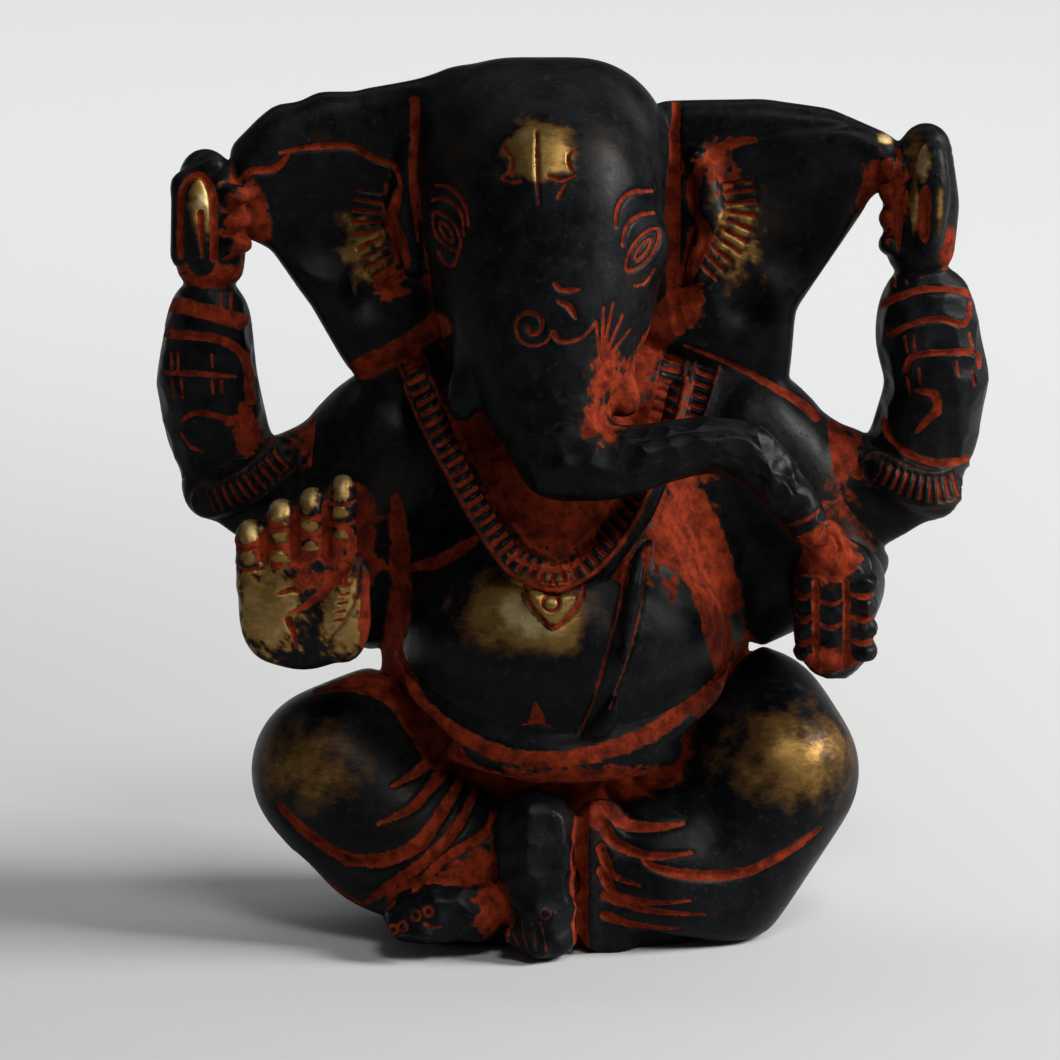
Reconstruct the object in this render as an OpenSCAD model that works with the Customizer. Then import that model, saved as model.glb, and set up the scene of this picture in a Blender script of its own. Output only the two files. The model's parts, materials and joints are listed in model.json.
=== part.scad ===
// Seated four-armed elephant-headed idol, cast brass, about 95 mm tall.
// Frame: origin at the centre of the underside, +X to the viewer's right, -Y to the front, +Z up.
// "right" and "left" in the names are the figure's own, so right is on -X.
// Each section is a closed solid that stops where its neighbour starts, so they meet face to face.

/* [Overall] */
// Height from the underside to the crown of the head
idol_h = 96.4; // [95:0.2:98]
// Width across the two knees
knee_span = 67; // [65:0.5:69]
// Width across the two raised forearms
arm_span = 93; // [91:0.5:95]

/* [Seat and legs] */
// Thickness of the flat seat block under the figure
seat_h = 8; // [7:0.5:9]
// Width of the seat block
seat_w = 40; // [38:0.5:42]
// Depth of the seat block
seat_d = 30; // [29:0.5:31]
// Radius of the knees
knee_r = 9.6; // [9:0.1:10]

/* [Body] */
// Width of the belly
belly_w = 36; // [34:0.5:38]
// Height of the belly
belly_h = 23.4; // [22:0.2:25]
// Forward reach of the belly from the middle of the seat
belly_reach = 21; // [20:0.2:22]
// Width across the shoulders
shoulder_w = 46; // [44:0.5:48]

/* [Head] */
// Width of the head
head_w = 26.6; // [26:0.2:27.4]
// Thickness of the ears
ear_t = 4.6; // [4:0.2:5.4]
// Radius of the trunk where it turns level
trunk_r = 4.2; // [3.9:0.1:4.5]

/* [Ornaments] */
// Thickness of the necklace band
necklace_r = 2; // [1.7:0.1:2.3]
// Thickness of the waistband
waistband_r = 1.9; // [1.6:0.1:2.2]
// Thickness of the shoulder sash
sash_r = 1.7; // [1.4:0.1:2]

/* [Hidden] */

BRASS = [0.62, 0.48, 0.22];
PATINA = [0.07, 0.08, 0.09];
PIGMENT = [0.60, 0.13, 0.05];

FINE = 24;
MEDIUM = 18;
COARSE = 12;

// The figure's head sits a little to its right of the seat's middle.
head_x = -1.8;
head_r = head_w / 2;
knee_x = knee_span / 2 - knee_r;
knee_z = 17.8;
belly_c = [0.5, -6, 33.4];
arm_x = arm_span / 2 - 5.8;

function facets(size) = size < 4 ? COARSE : size < 8 ? MEDIUM : FINE;
function widest(r) = is_list(r) ? max(r) : r;
function sizes(r) = is_list(r) ? r : [r, r, r];

// A ball or, with three radii, an egg.
module ball(p, r) {
    translate(p) scale(sizes(r)) sphere(1, $fn = facets(widest(r)));
}

// One egg as a convex lump of its own.
module lump(p, r) {
    hull() ball(p, r);
}

// A chain of rounded links through stations, each [point, radius].
module limb(stations) {
    for (i = [0 : len(stations) - 2]) {
        hull() {
            ball(stations[i][0], stations[i][1]);
            ball(stations[i + 1][0], stations[i + 1][1]);
        }
    }
}

// Everything under the surface that the idol stands on.
module below_ground() {
    translate([-80, -60, -40]) cube([160, 120, 40]);
}

// The first child, stopped where the other children start.
module stopped_by() {
    difference() {
        children(0);
        children([1 : $children - 1]);
    }
}

// ---------- forms, before they are stopped by each other ----------

module seat_form() {
    corner_r = 11;
    linear_extrude(seat_h) translate([0, 1.5]) hull() {
        for (sx = [-1, 1], sy = [-1, 1]) {
            translate([sx * (seat_w / 2 - corner_r), sy * (seat_d / 2 - corner_r)])
                circle(corner_r, $fn = 48);
        }
    }
}

module torso_form() {
    half = shoulder_w / 2;
    limb([
        [[0, 4, 14], [half - 3, 13.5, 13]],
        [[0.6, 3.4, 33], [half - 2, 13.2, 13]],
        [[1, 3, 46], [half - 1.6, 12, 11]]
    ]);
    hull() {
        ball([1, 3, 46], [half - 1.6, 12, 11]);
        for (side = [-1, 1]) ball([0.6 + side * (half - 6), 4, 57], [7.4, 8, 7.2]);
    }
    hull() {
        ball([head_x, 2, 61], [15, 10, 7.6]);
        ball([0, 3.4, 50], [15, 11, 9]);
    }
    lump([0.6, -4, 50], [13.5, 10, 9]);
}

module belly_form() {
    lump(belly_c, [belly_w / 2, belly_reach + belly_c[1], belly_h / 2]);
    lump([0.5, -3, 41.5], [15.4, 12.8, 9.4]);
}

module leg_form(side) {
    knee_shift = side < 0 ? -1 : 0;
    thigh = side < 0 ? [[-17, 2, 19.2], [9, 10, 10.6]] : [[21.5, 1, 20], [10, 10, 11]];
    shin = side < 0 ? [[-12.6, -8.6, 9.2], 9.4] : [[11.6, -8.6, 7.6], 9];
    calf = side < 0 ? [[-19, -6, 12.4], 10] : [[17, -6.4, 6], [8.6, 9, 8.6]];
    limb([
        [[side * 12.5, 7, 14.6], [11, 10.4, 12]],
        thigh,
        [[side * knee_x + knee_shift, -4, knee_z], [knee_r, 10.6, knee_r]],
        calf,
        shin
    ]);
}

module right_foot_form() {
    limb([
        [[-9.4, -15.4, 5.4], [4, 4.4, 4.2]],
        [[-13.6, -16.6, 5.2], [3.8, 4.2, 3.8]],
        [[-16.4, -16.8, 4.4], [2.9, 3.4, 3]]
    ]);
}

module left_foot_form() {
    limb([
        [[-2.7, -15.6, 14], [4.6, 4.6, 4.4]],
        [[-2.6, -16.8, 8], [4.2, 4, 4.2]],
        [[-1.8, -17.2, 3.4], [3.8, 4, 3.6]],
        [[-1.2, -17.6, 2.4], [3.4, 3.6, 2.6]]
    ]);
}

module pleat_form() {
    limb([
        [[3, -14.4, 15], [1.7, 3, 2.2]],
        [[3.1, -14.8, 8], [1.7, 3, 2.2]],
        [[3.1, -14.8, 1.6], [1.9, 3, 2.4]]
    ]);
}

module head_form() {
    crown_z = idol_h - 10.4;
    hull() {
        for (side = [-1, 1]) ball([head_x + side * 3.6, -1.6, crown_z], 10.4);
        ball([head_x, -3.6, 80.6], [head_r, 14, 13.6]);
    }
    hull() {
        ball([head_x, -3.6, 80.6], [head_r, 14, 13.6]);
        ball([head_x, -4.4, 69], [11.8, 12, 9.4]);
    }
}

module trunk_form() {
    limb([
        [[head_x, -9.4, 76], [9.6, 9.4, 9.6]],
        [[head_x + 0.2, -12.6, 67], [8.2, 8, 8]],
        [[-1.5, -15.6, 59.6], [6, 6, 6]],
        [[0, -18.2, 54.6], [5, 4.6, 5]],
        [[5, -19.4, 53.7], [trunk_r, 4, trunk_r - 0.3]],
        [[10, -19.6, 55], [3.7, 3.6, 3.5]],
        [[15, -19.2, 56], [3.4, 3.4, 3.2]],
        [[19.6, -18.8, 55.4], [3.2, 3.2, 3.2]],
        [[23.2, -18.6, 51.6], [3, 3, 3]],
        [[26.6, -18.6, 46.6], [2.7, 2.7, 2.7]]
    ]);
}

module right_tusk_form() {
    limb([
        [[-9.2, -12.6, 64.6], 2],
        [[-10.4, -14.4, 60.6], [1.9, 1.7, 3.2]]
    ]);
}

module left_tusk_form() {
    limb([
        [[5.8, -12.6, 62.6], 2.2],
        [[6.8, -14.4, 60], 1.9]
    ]);
}

// Three lobes, wide at the top and drawn in where the ear runs down to the shoulder.
module ear_form(side) {
    t = ear_t / 2;
    top = side < 0
        ? [[-13, 1.5, 90.4], [-26, 0.6, 90.4], [-31.2, -0.4, 87.4], [-33.6, -1, 84],
           [-33.6, -0.6, 78.6], [-14, 2.4, 70]]
        : [[10.6, 1.5, 89.4], [22, 0.6, 89.6], [29, 0, 88.6], [35, -1, 86],
           [33.6, -0.6, 83.4], [11, 2.4, 70]];
    middle = side < 0
        ? [[-31.6, -0.5, 79], [-26.6, -0.2, 71.6], [-14, 2.4, 70], [-14, 2, 80]]
        : [[31.6, -0.5, 81], [24, -0.2, 69.6], [11, 2.4, 70], [11, 2, 80]];
    bottom = side < 0
        ? [[-26.6, -0.2, 72], [-21.8, -0.4, 63.6], [-13, 1, 67.6], [-14, 2.4, 76]]
        : [[24, -0.2, 70.6], [23.2, -0.4, 61], [10.6, 1, 66.6], [11, 2.4, 76]];
    for (lobe = [top, middle, bottom]) hull() for (p = lobe) ball(p, [t, t, t]);
}

module upper_arm_form(side) {
    elbow = side < 0 ? [-37, 1, 48.6] : [39.4, 1, 48.6];
    middle = side < 0 ? [-29, 2, 47.8] : [31, 2, 48.4];
    limb([
        [elbow, [6, 5.8, 6.2]],
        [middle, [6.2, 6.2, 7]],
        [[side * 19, 3.4, 51.4], [6.4, 7.2, 8]]
    ]);
}

// The front arm hangs from the shoulder beside the raised one.
module front_arm_form(side) {
    elbow = side < 0 ? [-27.4, 1, 41.6] : [30.8, 1, 42.4];
    shoulder = side < 0 ? [-19.2, 1.4, 54.2] : [21, 1.4, 55];
    limb([
        [shoulder, [7, 7.6, 7]],
        [elbow, [6.6, 6.6, 7]],
        [[side * 19, 5, 37], [7, 7, 8]]
    ]);
}

module raised_forearm_form(side) {
    top = side < 0 ? [[-38.6, -1, 67.6], [4.9, 4.6, 5.2]] : [[40.8, -1, 68.8], [5, 4.6, 5.2]];
    bottom = side < 0 ? [[-37.4, 0.8, 52], [6, 5.8, 6]] : [[39.8, 0.8, 52], [6.2, 5.8, 6]];
    limb([
        top,
        [[side * arm_x + (side < 0 ? 1.7 : 1.1), -0.4, 61], [5.8, 5.4, 6]],
        bottom
    ]);
}

module raised_hand_form(side) {
    c = side < 0 ? [-38.3, -1.6, 78.6] : [39.4, -1.6, 80.4];
    top = side < 0 ? 5 : 6;
    limb([
        [c - [0, 0, 5.4], [3.9, 3.6, 3]],
        [c, [4.3, 3.8, 4]],
        [c + [side * 0.4, 0, top], [3, 3, 3]]
    ]);
}

module emblem_form(side) {
    c = side < 0 ? [-38.8, -5, 78.4] : [39.8, -5, 80.6];
    limb([
        [c - [0, -0.6, 4.4], [1.6, 1.3, 1.6]],
        [c + [side * 0.2, 0, 1], [2.1, 1.4, 2.4]],
        [c + [side * 0.5, 0.6, 5], [1.3, 1.2, 1.6]]
    ]);
}

// A ring of links round the arm just under the raised forearm.
module armlet_form(side) {
    c = side < 0 ? [-36.4, 0.8, 50] : [38.8, 0.8, 50];
    steps = 10;
    function around(i) = let (a = 360 * i / steps) [
        c[0] + 6.1 * cos(a),
        c[1] + 6.2 * sin(a),
        c[2] - side * 2.4 * cos(a) + 0.6 * sin(a)
    ];
    for (i = [0 : steps - 1]) {
        hull() {
            ball(around(i), [1.1, 1.1, 1.7]);
            ball(around(i + 1), [1.1, 1.1, 1.7]);
        }
    }
}

module front_forearm_form(side) {
    elbow = side < 0 ? [[-27.6, -1, 40.6], [6, 6, 6.4]] : [[30.6, -1, 40.6], [6.2, 6, 6.4]];
    wrist = side < 0 ? [[-27.4, -11, 37.4], [5.4, 4.8, 5.2]] : [[30, -9.8, 37.4], [4.4, 4.6, 5.2]];
    limb([
        elbow,
        [(elbow[0] + wrist[0]) / 2, [5.6, 5.2, 5.6]],
        wrist
    ]);
}

module right_open_hand_form() {
    palm_y = -15.4;
    tips = [48, 50.2, 51.4, 52.8];
    hull() {
        lump([-27.6, palm_y, 37.2], [7, 2.9, 6.2]);
        lump([-28, palm_y, 42], [6.9, 2.6, 3]);
    }
    for (i = [0 : 3]) {
        x = -33.2 + 3.3 * i;
        limb([
            [[x, palm_y, 41.6], [1.6, 1.9, 1.8]],
            [[x + 0.05 * i, palm_y - 0.4, tips[i] - 1.6], [1.55, 1.8, 1.6]]
        ]);
    }
    limb([
        [[-23.2, palm_y - 0.6, 34.4], [2.2, 2.4, 2.4]],
        [[-21.4, palm_y - 1, 42], [1.4, 1.7, 1.8]]
    ]);
}

module left_cupped_hand_form() {
    hull() {
        lump([29.4, -13.8, 35], [4.5, 5, 5.2]);
        lump([29.2, -14.2, 41.6], [4.3, 4.8, 4.2]);
    }
}

module sweet_form() {
    limb([
        [[28.4, -16.2, 43.8], 3.4],
        [[27.8, -16.6, 46], 2.2]
    ]);
}

// ---------- ornaments, each a band that follows the body ----------

// Points of a half ellipse under the belly, from one hip to the other.
function waist_point(a) = [
    belly_c[0] + (belly_w / 2 + 0.4) * cos(a),
    -5 - 13 * sin(a),
    belly_c[2] + 0.8 - (belly_h / 2 + 0.4) * sin(a)
];

module waistband_form() {
    first = 10;
    step = 20;
    steps = 8;
    for (i = [0 : steps - 1]) {
        hull() {
            ball(waist_point(first + i * step), waistband_r);
            ball(waist_point(first + (i + 1) * step), waistband_r);
        }
    }
}

module sash_form() {
    limb([
        [[13.4, -7.6, 56.6], sash_r],
        [[9.6, -14.2, 47.6], sash_r],
        [[7.8, -18.4, 41], sash_r],
        [[6.6, -20.4, 34], sash_r],
        [[5, -19, 26.4], sash_r],
        [[2, -17.6, 22.8], sash_r]
    ]);
}

module necklace_form() {
    limb([
        [[-15.6, -6, 61.6], necklace_r],
        [[-13, -11, 56], necklace_r],
        [[-9.6, -14.8, 49.4], necklace_r],
        [[-5.6, -17, 43.6], necklace_r],
        [[-0.8, -18.2, 41.2], necklace_r],
        [[4.4, -17, 43.2], necklace_r],
        [[8.4, -14, 48], necklace_r],
        [[11.6, -10.4, 54.6], necklace_r],
        [[13.2, -6.4, 60.6], necklace_r]
    ]);
}

module pendant_form() {
    hull() {
        for (side = [-1, 1]) ball([-0.9 + side * 2.4, -18.8, 40], [1.2, 1.8, 1.2]);
        ball([-0.9, -19.8, 36.6], [1, 1.6, 1]);
    }
}

// ---------- sections ----------

module seat() {
    color(PATINA) seat_form();
}

module torso() {
    color(PATINA) stopped_by() {
        torso_form();
        seat_form();
        head_form();
        below_ground();
    }
}

module belly() {
    color(PATINA) stopped_by() {
        belly_form();
        torso_form();
        seat_form();
        head_form();
    }
}

module leg(side) {
    color(PATINA) stopped_by() {
        leg_form(side);
        seat_form();
        torso_form();
        belly_form();
        below_ground();
    }
}

module right_foot() {
    color(PATINA) stopped_by() {
        right_foot_form();
        left_foot_form();
        leg_form(-1);
        seat_form();
        below_ground();
    }
}

module left_foot() {
    color(PATINA) stopped_by() {
        left_foot_form();
        leg_form(-1);
        leg_form(1);
        seat_form();
        belly_form();
        below_ground();
    }
}

module pleat() {
    color(PIGMENT) stopped_by() {
        pleat_form();
        left_foot_form();
        leg_form(-1);
        leg_form(1);
        seat_form();
        belly_form();
        below_ground();
    }
}

module head() {
    color(PATINA) head_form();
}

module trunk() {
    color(PATINA) stopped_by() {
        trunk_form();
        head_form();
        torso_form();
        belly_form();
        left_cupped_hand_form();
        sweet_form();
    }
}

module right_tusk() {
    color(PATINA) stopped_by() {
        right_tusk_form();
        trunk_form();
        head_form();
        torso_form();
    }
}

module left_tusk() {
    color(PIGMENT) stopped_by() {
        left_tusk_form();
        trunk_form();
        head_form();
        torso_form();
    }
}

module ear(side) {
    color(PATINA) stopped_by() {
        ear_form(side);
        head_form();
        torso_form();
        front_arm_form(side);
        raised_hand_form(side);
        raised_forearm_form(side);
    }
}

module raised_upper_arm(side) {
    color(PATINA) stopped_by() {
        upper_arm_form(side);
        torso_form();
        raised_forearm_form(side);
        belly_form();
    }
}

module front_upper_arm(side) {
    color(PATINA) stopped_by() {
        front_arm_form(side);
        upper_arm_form(side);
        torso_form();
        raised_forearm_form(side);
        belly_form();
        leg_form(side);
    }
}

module raised_forearm(side) {
    color(PATINA) stopped_by() {
        raised_forearm_form(side);
        torso_form();
        belly_form();
    }
}

module raised_hand(side) {
    color(PATINA) stopped_by() {
        raised_hand_form(side);
        raised_forearm_form(side);
        torso_form();
    }
}

module emblem(side) {
    color(BRASS) stopped_by() {
        emblem_form(side);
        raised_hand_form(side);
        raised_forearm_form(side);
        torso_form();
    }
}

module armlet(side) {
    color(PATINA) stopped_by() {
        armlet_form(side);
        upper_arm_form(side);
        front_arm_form(side);
        raised_forearm_form(side);
        front_forearm_form(side);
        torso_form();
        ear_form(side);
    }
}

module front_forearm(side) {
    color(PATINA) stopped_by() {
        front_forearm_form(side);
        upper_arm_form(side);
        front_arm_form(side);
        raised_forearm_form(side);
        torso_form();
        belly_form();
        leg_form(side);
    }
}

module right_open_hand() {
    color(BRASS) stopped_by() {
        right_open_hand_form();
        front_forearm_form(-1);
        front_arm_form(-1);
        torso_form();
        leg_form(-1);
    }
}

module left_cupped_hand() {
    color(PATINA) stopped_by() {
        left_cupped_hand_form();
        front_forearm_form(1);
        front_arm_form(1);
        leg_form(1);
        torso_form();
    }
}

module sweet() {
    color(PIGMENT) stopped_by() {
        sweet_form();
        left_cupped_hand_form();
        front_forearm_form(1);
        torso_form();
    }
}

module waistband() {
    color(PATINA) stopped_by() {
        waistband_form();
        belly_form();
        torso_form();
        leg_form(-1);
        leg_form(1);
        left_foot_form();
    }
}

module sash() {
    color(PATINA) stopped_by() {
        sash_form();
        belly_form();
        torso_form();
        trunk_form();
        head_form();
        waistband_form();
        necklace_form();
    }
}

module necklace() {
    color(PIGMENT) stopped_by() {
        necklace_form();
        belly_form();
        torso_form();
        head_form();
        trunk_form();
        right_tusk_form();
        left_tusk_form();
    }
}

module pendant() {
    color(BRASS) stopped_by() {
        pendant_form();
        necklace_form();
        belly_form();
        torso_form();
    }
}

seat();
torso();
belly();
waistband();
sash();
necklace();
pendant();
head();
trunk();
right_tusk();
left_tusk();
ear(-1);  // right_ear
ear(1);  // left_ear
raised_upper_arm(-1);  // right_raised_upper_arm
raised_upper_arm(1);  // left_raised_upper_arm
front_upper_arm(-1);  // right_front_upper_arm
front_upper_arm(1);  // left_front_upper_arm
raised_forearm(-1);  // right_raised_forearm
raised_forearm(1);  // left_raised_forearm
raised_hand(-1);  // right_raised_hand
raised_hand(1);  // left_raised_hand
emblem(-1);  // right_emblem
emblem(1);  // left_emblem
armlet(-1);  // right_armlet
armlet(1);  // left_armlet
front_forearm(-1);  // right_front_forearm
front_forearm(1);  // left_front_forearm
right_open_hand();
left_cupped_hand();
sweet();
leg(-1);  // right_leg
leg(1);  // left_leg
right_foot();
left_foot();
pleat();
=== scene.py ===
"""A seated elephant-headed idol in blackened brass, with red pigment in its hollows.

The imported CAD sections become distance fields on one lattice. They are rounded, given their
fingers, folds and toes, blended into one sculpted skin and cut apart again along the same
seams, so each section stays a piece of its own. Chased lines and ribs are then pressed into
the meshes, and each vertex notes how much pigment and how much bare brass it shows.
Lengths are in mm until the meshes and the stage are made.
"""
import json
import math

import bpy
import numpy as np
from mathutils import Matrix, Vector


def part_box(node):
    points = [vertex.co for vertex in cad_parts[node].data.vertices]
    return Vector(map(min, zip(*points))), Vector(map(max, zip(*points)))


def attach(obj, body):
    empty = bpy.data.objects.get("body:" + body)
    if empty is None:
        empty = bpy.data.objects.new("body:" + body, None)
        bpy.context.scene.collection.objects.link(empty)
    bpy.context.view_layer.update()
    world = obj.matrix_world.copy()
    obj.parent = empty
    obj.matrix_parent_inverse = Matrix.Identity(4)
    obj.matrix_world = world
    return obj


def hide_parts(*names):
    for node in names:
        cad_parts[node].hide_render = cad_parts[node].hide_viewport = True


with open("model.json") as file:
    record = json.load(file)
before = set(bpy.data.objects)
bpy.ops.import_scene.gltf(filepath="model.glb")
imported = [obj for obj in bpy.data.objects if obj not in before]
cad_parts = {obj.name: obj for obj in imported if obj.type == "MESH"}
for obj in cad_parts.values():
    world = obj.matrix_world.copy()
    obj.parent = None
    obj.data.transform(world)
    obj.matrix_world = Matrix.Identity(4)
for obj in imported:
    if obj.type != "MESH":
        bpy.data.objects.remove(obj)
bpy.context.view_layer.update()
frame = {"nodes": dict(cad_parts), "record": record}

import openvdb as vdb
from mathutils import Vector

MM = 0.001
STEP = 0.42  # the lattice spacing
FINE = 0.2  # the longest mesh edge beside a fine line
BAND = 3.0  # how far from a surface its distances are kept
LAP = 0.5  # how far a piece runs on under its neighbours
FAINT = 0.15  # marks shallower than this need no finer mesh
WIDE_LINE = 1.2  # lines wider than this are drawn on a coarser mesh
CRUMB = 0.12  # loose parts with a smaller share of a piece's points than this are dropped
FINE_BLUR = 0.8  # the blur that tells creases from open metal
BROAD_BLUR = 2.2  # the blur that tells broad hollows from open metal
NODES = [entry["node"] for entry in frame["record"]["subparts"]]
SLOTS = {entry["node"]: entry["material_slot"] for entry in frame["record"]["subparts"]}
SIDES = ((-1, "right_"), (1, "left_"))


def box_middle(node):
    low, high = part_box(node)
    return (np.array(low) / MM + np.array(high) / MM) / 2


MIDDLES = {node: box_middle(node) for node in NODES}


def at(node, x, y, z):
    """A place measured from the middle of a section's box."""
    return MIDDLES[node] + (x, y, z)


# ---------- distance fields ----------

class Field:
    """Distances to a surface, negative inside, over one box of the lattice.

    The places given to bump, bar, dent and slot are measured from the field's own middle.
    """

    def __init__(self, low, values, middle=(0, 0, 0)):
        self.low = np.asarray(low)
        self.values = values
        self.middle = np.asarray(middle, float)

    def axes(self):
        """The X, Y and Z of the lattice points, shaped to broadcast."""
        spans = [np.arange(n, dtype=np.float32) for n in self.values.shape]
        return np.ix_(*[(span + start) * STEP for span, start in zip(spans, self.low)])

    def within(self, other):
        """The slices of another field's array that this one covers."""
        start = self.low - other.low
        return tuple(slice(a, a + n) for a, n in zip(start, self.values.shape))

    def bump(self, centre, radii, blend):
        shape = ellipsoid(self.axes(), self.middle + centre, radii)
        self.values = smooth_min(self.values, shape, blend)

    def bar(self, start, end, start_r, end_r, blend):
        shape = rod(self.axes(), self.middle + start, self.middle + end, start_r, end_r)
        self.values = smooth_min(self.values, shape, blend)

    def dent(self, centre, radii, blend):
        shape = ellipsoid(self.axes(), self.middle + centre, radii)
        self.values = -smooth_min(-self.values, shape, blend)

    def slot(self, start, end, start_r, end_r, blend):
        shape = rod(self.axes(), self.middle + start, self.middle + end, start_r, end_r)
        self.values = -smooth_min(-self.values, shape, blend)

    def shrink(self, amount):
        self.values = self.values + np.float32(amount)


def smooth_min(a, b, blend):
    h = np.clip(0.5 + 0.5 * (b - a) / blend, 0, 1)
    return (b + (a - b) * h - blend * h * (1 - h)).astype(np.float32)


def soften(values, sigma):
    """Gaussian blur with sigma in mm, one axis at a time."""
    reach = max(1, int(math.ceil(2.6 * sigma / STEP)))
    taps = np.exp(-0.5 * (np.arange(-reach, reach + 1) * STEP / sigma) ** 2)
    taps = (taps / taps.sum()).astype(np.float32)
    for axis in range(3):
        pad = [(reach, reach) if a == axis else (0, 0) for a in range(3)]
        padded = np.pad(values, pad, mode="edge")
        count = values.shape[axis]
        total = np.zeros_like(values)
        for i, tap in enumerate(taps):
            cut = [slice(None)] * 3
            cut[axis] = slice(i, i + count)
            total += tap * padded[tuple(cut)]
        values = total
    return values


def cad_field(node):
    """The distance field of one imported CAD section."""
    mesh = frame["nodes"][node].data
    mesh.calc_loop_triangles()
    points = np.empty(len(mesh.vertices) * 3, np.float32)
    mesh.vertices.foreach_get("co", points)
    points = points.reshape(-1, 3) / MM
    triangles = np.empty(len(mesh.loop_triangles) * 3, np.int32)
    mesh.loop_triangles.foreach_get("vertices", triangles)
    reach = int(math.ceil(BAND / STEP))
    grid = vdb.FloatGrid.createLevelSetFromPolygons(
        points,
        triangles=triangles.reshape(-1, 3).astype(np.uint32),
        transform=vdb.createLinearTransform(voxelSize=STEP),
        exBandWidth=reach,
        inBandWidth=reach,
    )
    low = np.floor(points.min(0) / STEP).astype(int) - reach
    high = np.ceil(points.max(0) / STEP).astype(int) + reach
    values = np.zeros(high - low + 1, np.float32)
    grid.copyToArray(values, ijk=tuple(int(v) for v in low))
    return Field(low, values, MIDDLES[node])


def ellipsoid(axes, centre, radii):
    scaled = [(axis - c) / r for axis, c, r in zip(axes, centre, radii)]
    near = np.sqrt(sum(s * s for s in scaled))
    slope = np.sqrt(sum((s / r) ** 2 for s, r in zip(scaled, radii)))
    return near * (near - 1) / np.maximum(slope, 1e-6)


def rod(axes, start, end, start_r, end_r):
    """A round-ended rod between two points."""
    along = end - start
    rel = [axis - c for axis, c in zip(axes, start)]
    t = np.clip(sum(r * v for r, v in zip(rel, along)) / max(along @ along, 1e-9), 0, 1)
    gap = np.sqrt(sum((r - t * v) ** 2 for r, v in zip(rel, along)))
    return gap - (start_r + (end_r - start_r) * t)


def corners(base, part):
    """The eight lattice points round each place, each with its share of a trilinear reading."""
    for corner in range(8):
        offset = np.array([(corner >> 2) & 1, (corner >> 1) & 1, corner & 1])
        yield base + offset, np.prod(np.where(offset, part, 1 - part), axis=1)


# ---------- sculpting each section ----------

ROUNDING = {node: 0.5 for node in NODES}
ROUNDING.update({"torso": 1.15, "belly": 1.15, "head": 1.15, "trunk": 0.85})
for _, side in SIDES:
    ROUNDING[side + "leg"] = 1.15
    for limb in ("raised_upper_arm", "front_upper_arm", "raised_forearm", "front_forearm"):
        ROUNDING[side + limb] = 0.95

# How much thinner each of these is than its CAD section; the negative ones stand prouder.
THINNING = {
    "right_armlet": -0.3, "left_armlet": -0.3, "right_emblem": -0.35, "left_emblem": -0.45,
    "sash": 0.35, "pendant": 0.05, "necklace": 0.3, "waistband": 0.5, "pleat": 0.5,
}
# The slanting cut under each elbow, from its armlet's middle in whole mm.
ELBOW_CUTS = {
    "right_": ((-13, 0, -4.8), (-3.5, 0, -15.8)),
    "left_": ((13.1, 0, -5.8), (2.4, 0, -16.8)),
}
# The tip of each finger of the open hand, as (x, z) from the hand's middle.
FINGER_TIPS = ((-5.7, 6.1), (-2.4, 8.3), (0.9, 9.5), (4.2, 10.9))


def sculpt_ears(fields):
    """Each ear is dished in front, under a top rim that folds over the dish."""
    for side, name in SIDES:
        ear = fields[name + "ear"]
        ear.dent((side * 1.2, -8.4, 1), (9.6, 7.2, 8.8), 0.6)
        ear.dent((-side * 3, -8, -5.6), (5.4, 6.6, 6), 0.6)
        root = [(-side * 7.4, -2.4, 9), (-side * 6.2, -3, 3), (-side * 7.6, -3, -3)]
        for start, end in zip(root, root[1:]):
            ear.bar(start, end, 1.5, 1.7, 0.8)
    ear = fields["right_ear"]
    ear.bar((-10.8, 0.2, 8.8), (-7, 0.2, 11.9), 1.9, 2.1, 2)
    ear.bar((3.5, 0.3, 14.2), (11.6, -0.8, 15.2), 1.4, 2.2, 2)


def sculpt_head(fields):
    """A lidded mound for each eye, and a soft brow above the trunk."""
    head = fields["head"]
    for x, z in ((-10.3, 0), (10.5, -1.8)):
        head.bump((x, -5.6, z), (2.6, 4.2, 2.9), 2.2)
    head.bump((1.4, -7.2, 3.4), (8.2, 7.2, 9.4), 4)


def sculpt_raised_arms(fields):
    """The left forearm swells inward, and each elbow is cut away under its armlet."""
    fields["left_raised_forearm"].bump((-2.2, -1.2, 6.5), (3.7, 5, 7), 1)
    for side, (start, end) in ELBOW_CUTS.items():
        for limb in ("raised_upper_arm", "armlet", "raised_forearm"):
            field = fields[side + limb]
            shift = np.round(MIDDLES[side + "armlet"]) - field.middle
            field.slot(shift + start, shift + end, 10, 10, 1.2)


def sculpt_raised_hands(fields):
    """Three knuckles curl round the right hand's bud and four round the left hand's blade."""
    hand = fields["right_raised_hand"]
    for z in (2.5, -0.1, -2.7):
        hand.bump((3.1, -2.6, z), (1.9, 2.1, 1.2), 0.35)
    hand.bar((-2.8, -2.4, -4), (-2.3, -2.8, 3.6), 1.4, 1.6, 0.6)
    hand.bar((-2.3, -2.8, 3.6), (0.8, -2.8, 5.6), 1.6, 1.4, 0.6)
    for z in (3.6, 0.8, -2, -4.8):
        fields["left_raised_hand"].bump((-3.5, -1.6, z), (1.4, 2, 1.3), 0.35)


def sculpt_open_hand(fields):
    """Finger pads, parted fingers and the swell at the root of the thumb."""
    hand = fields["right_open_hand"]
    for i, (x, top) in enumerate(FINGER_TIPS):
        for part, wide in ((0.16, 1.55), (0.5, 1.6), (0.84, 1.65)):
            z = top - 1.6 - (top + 0.8) * (1 - part)
            hand.bump((x, -0.6, z), (wide, 1.9, (top + 2) * 0.2), 0.3)
        if i:
            gap = x - 1.65
            hand.slot((gap, -2.6, top - 7.6), (gap, -2.6, top), 0.5, 0.7, 0.3)
    hand.bump((4.2, -1.4, -5), (3, 1.9, 4.2), 1.2)
    hand.bump((-3.4, -1.2, -5), (3.2, 1.6, 4.6), 1.2)


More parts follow.
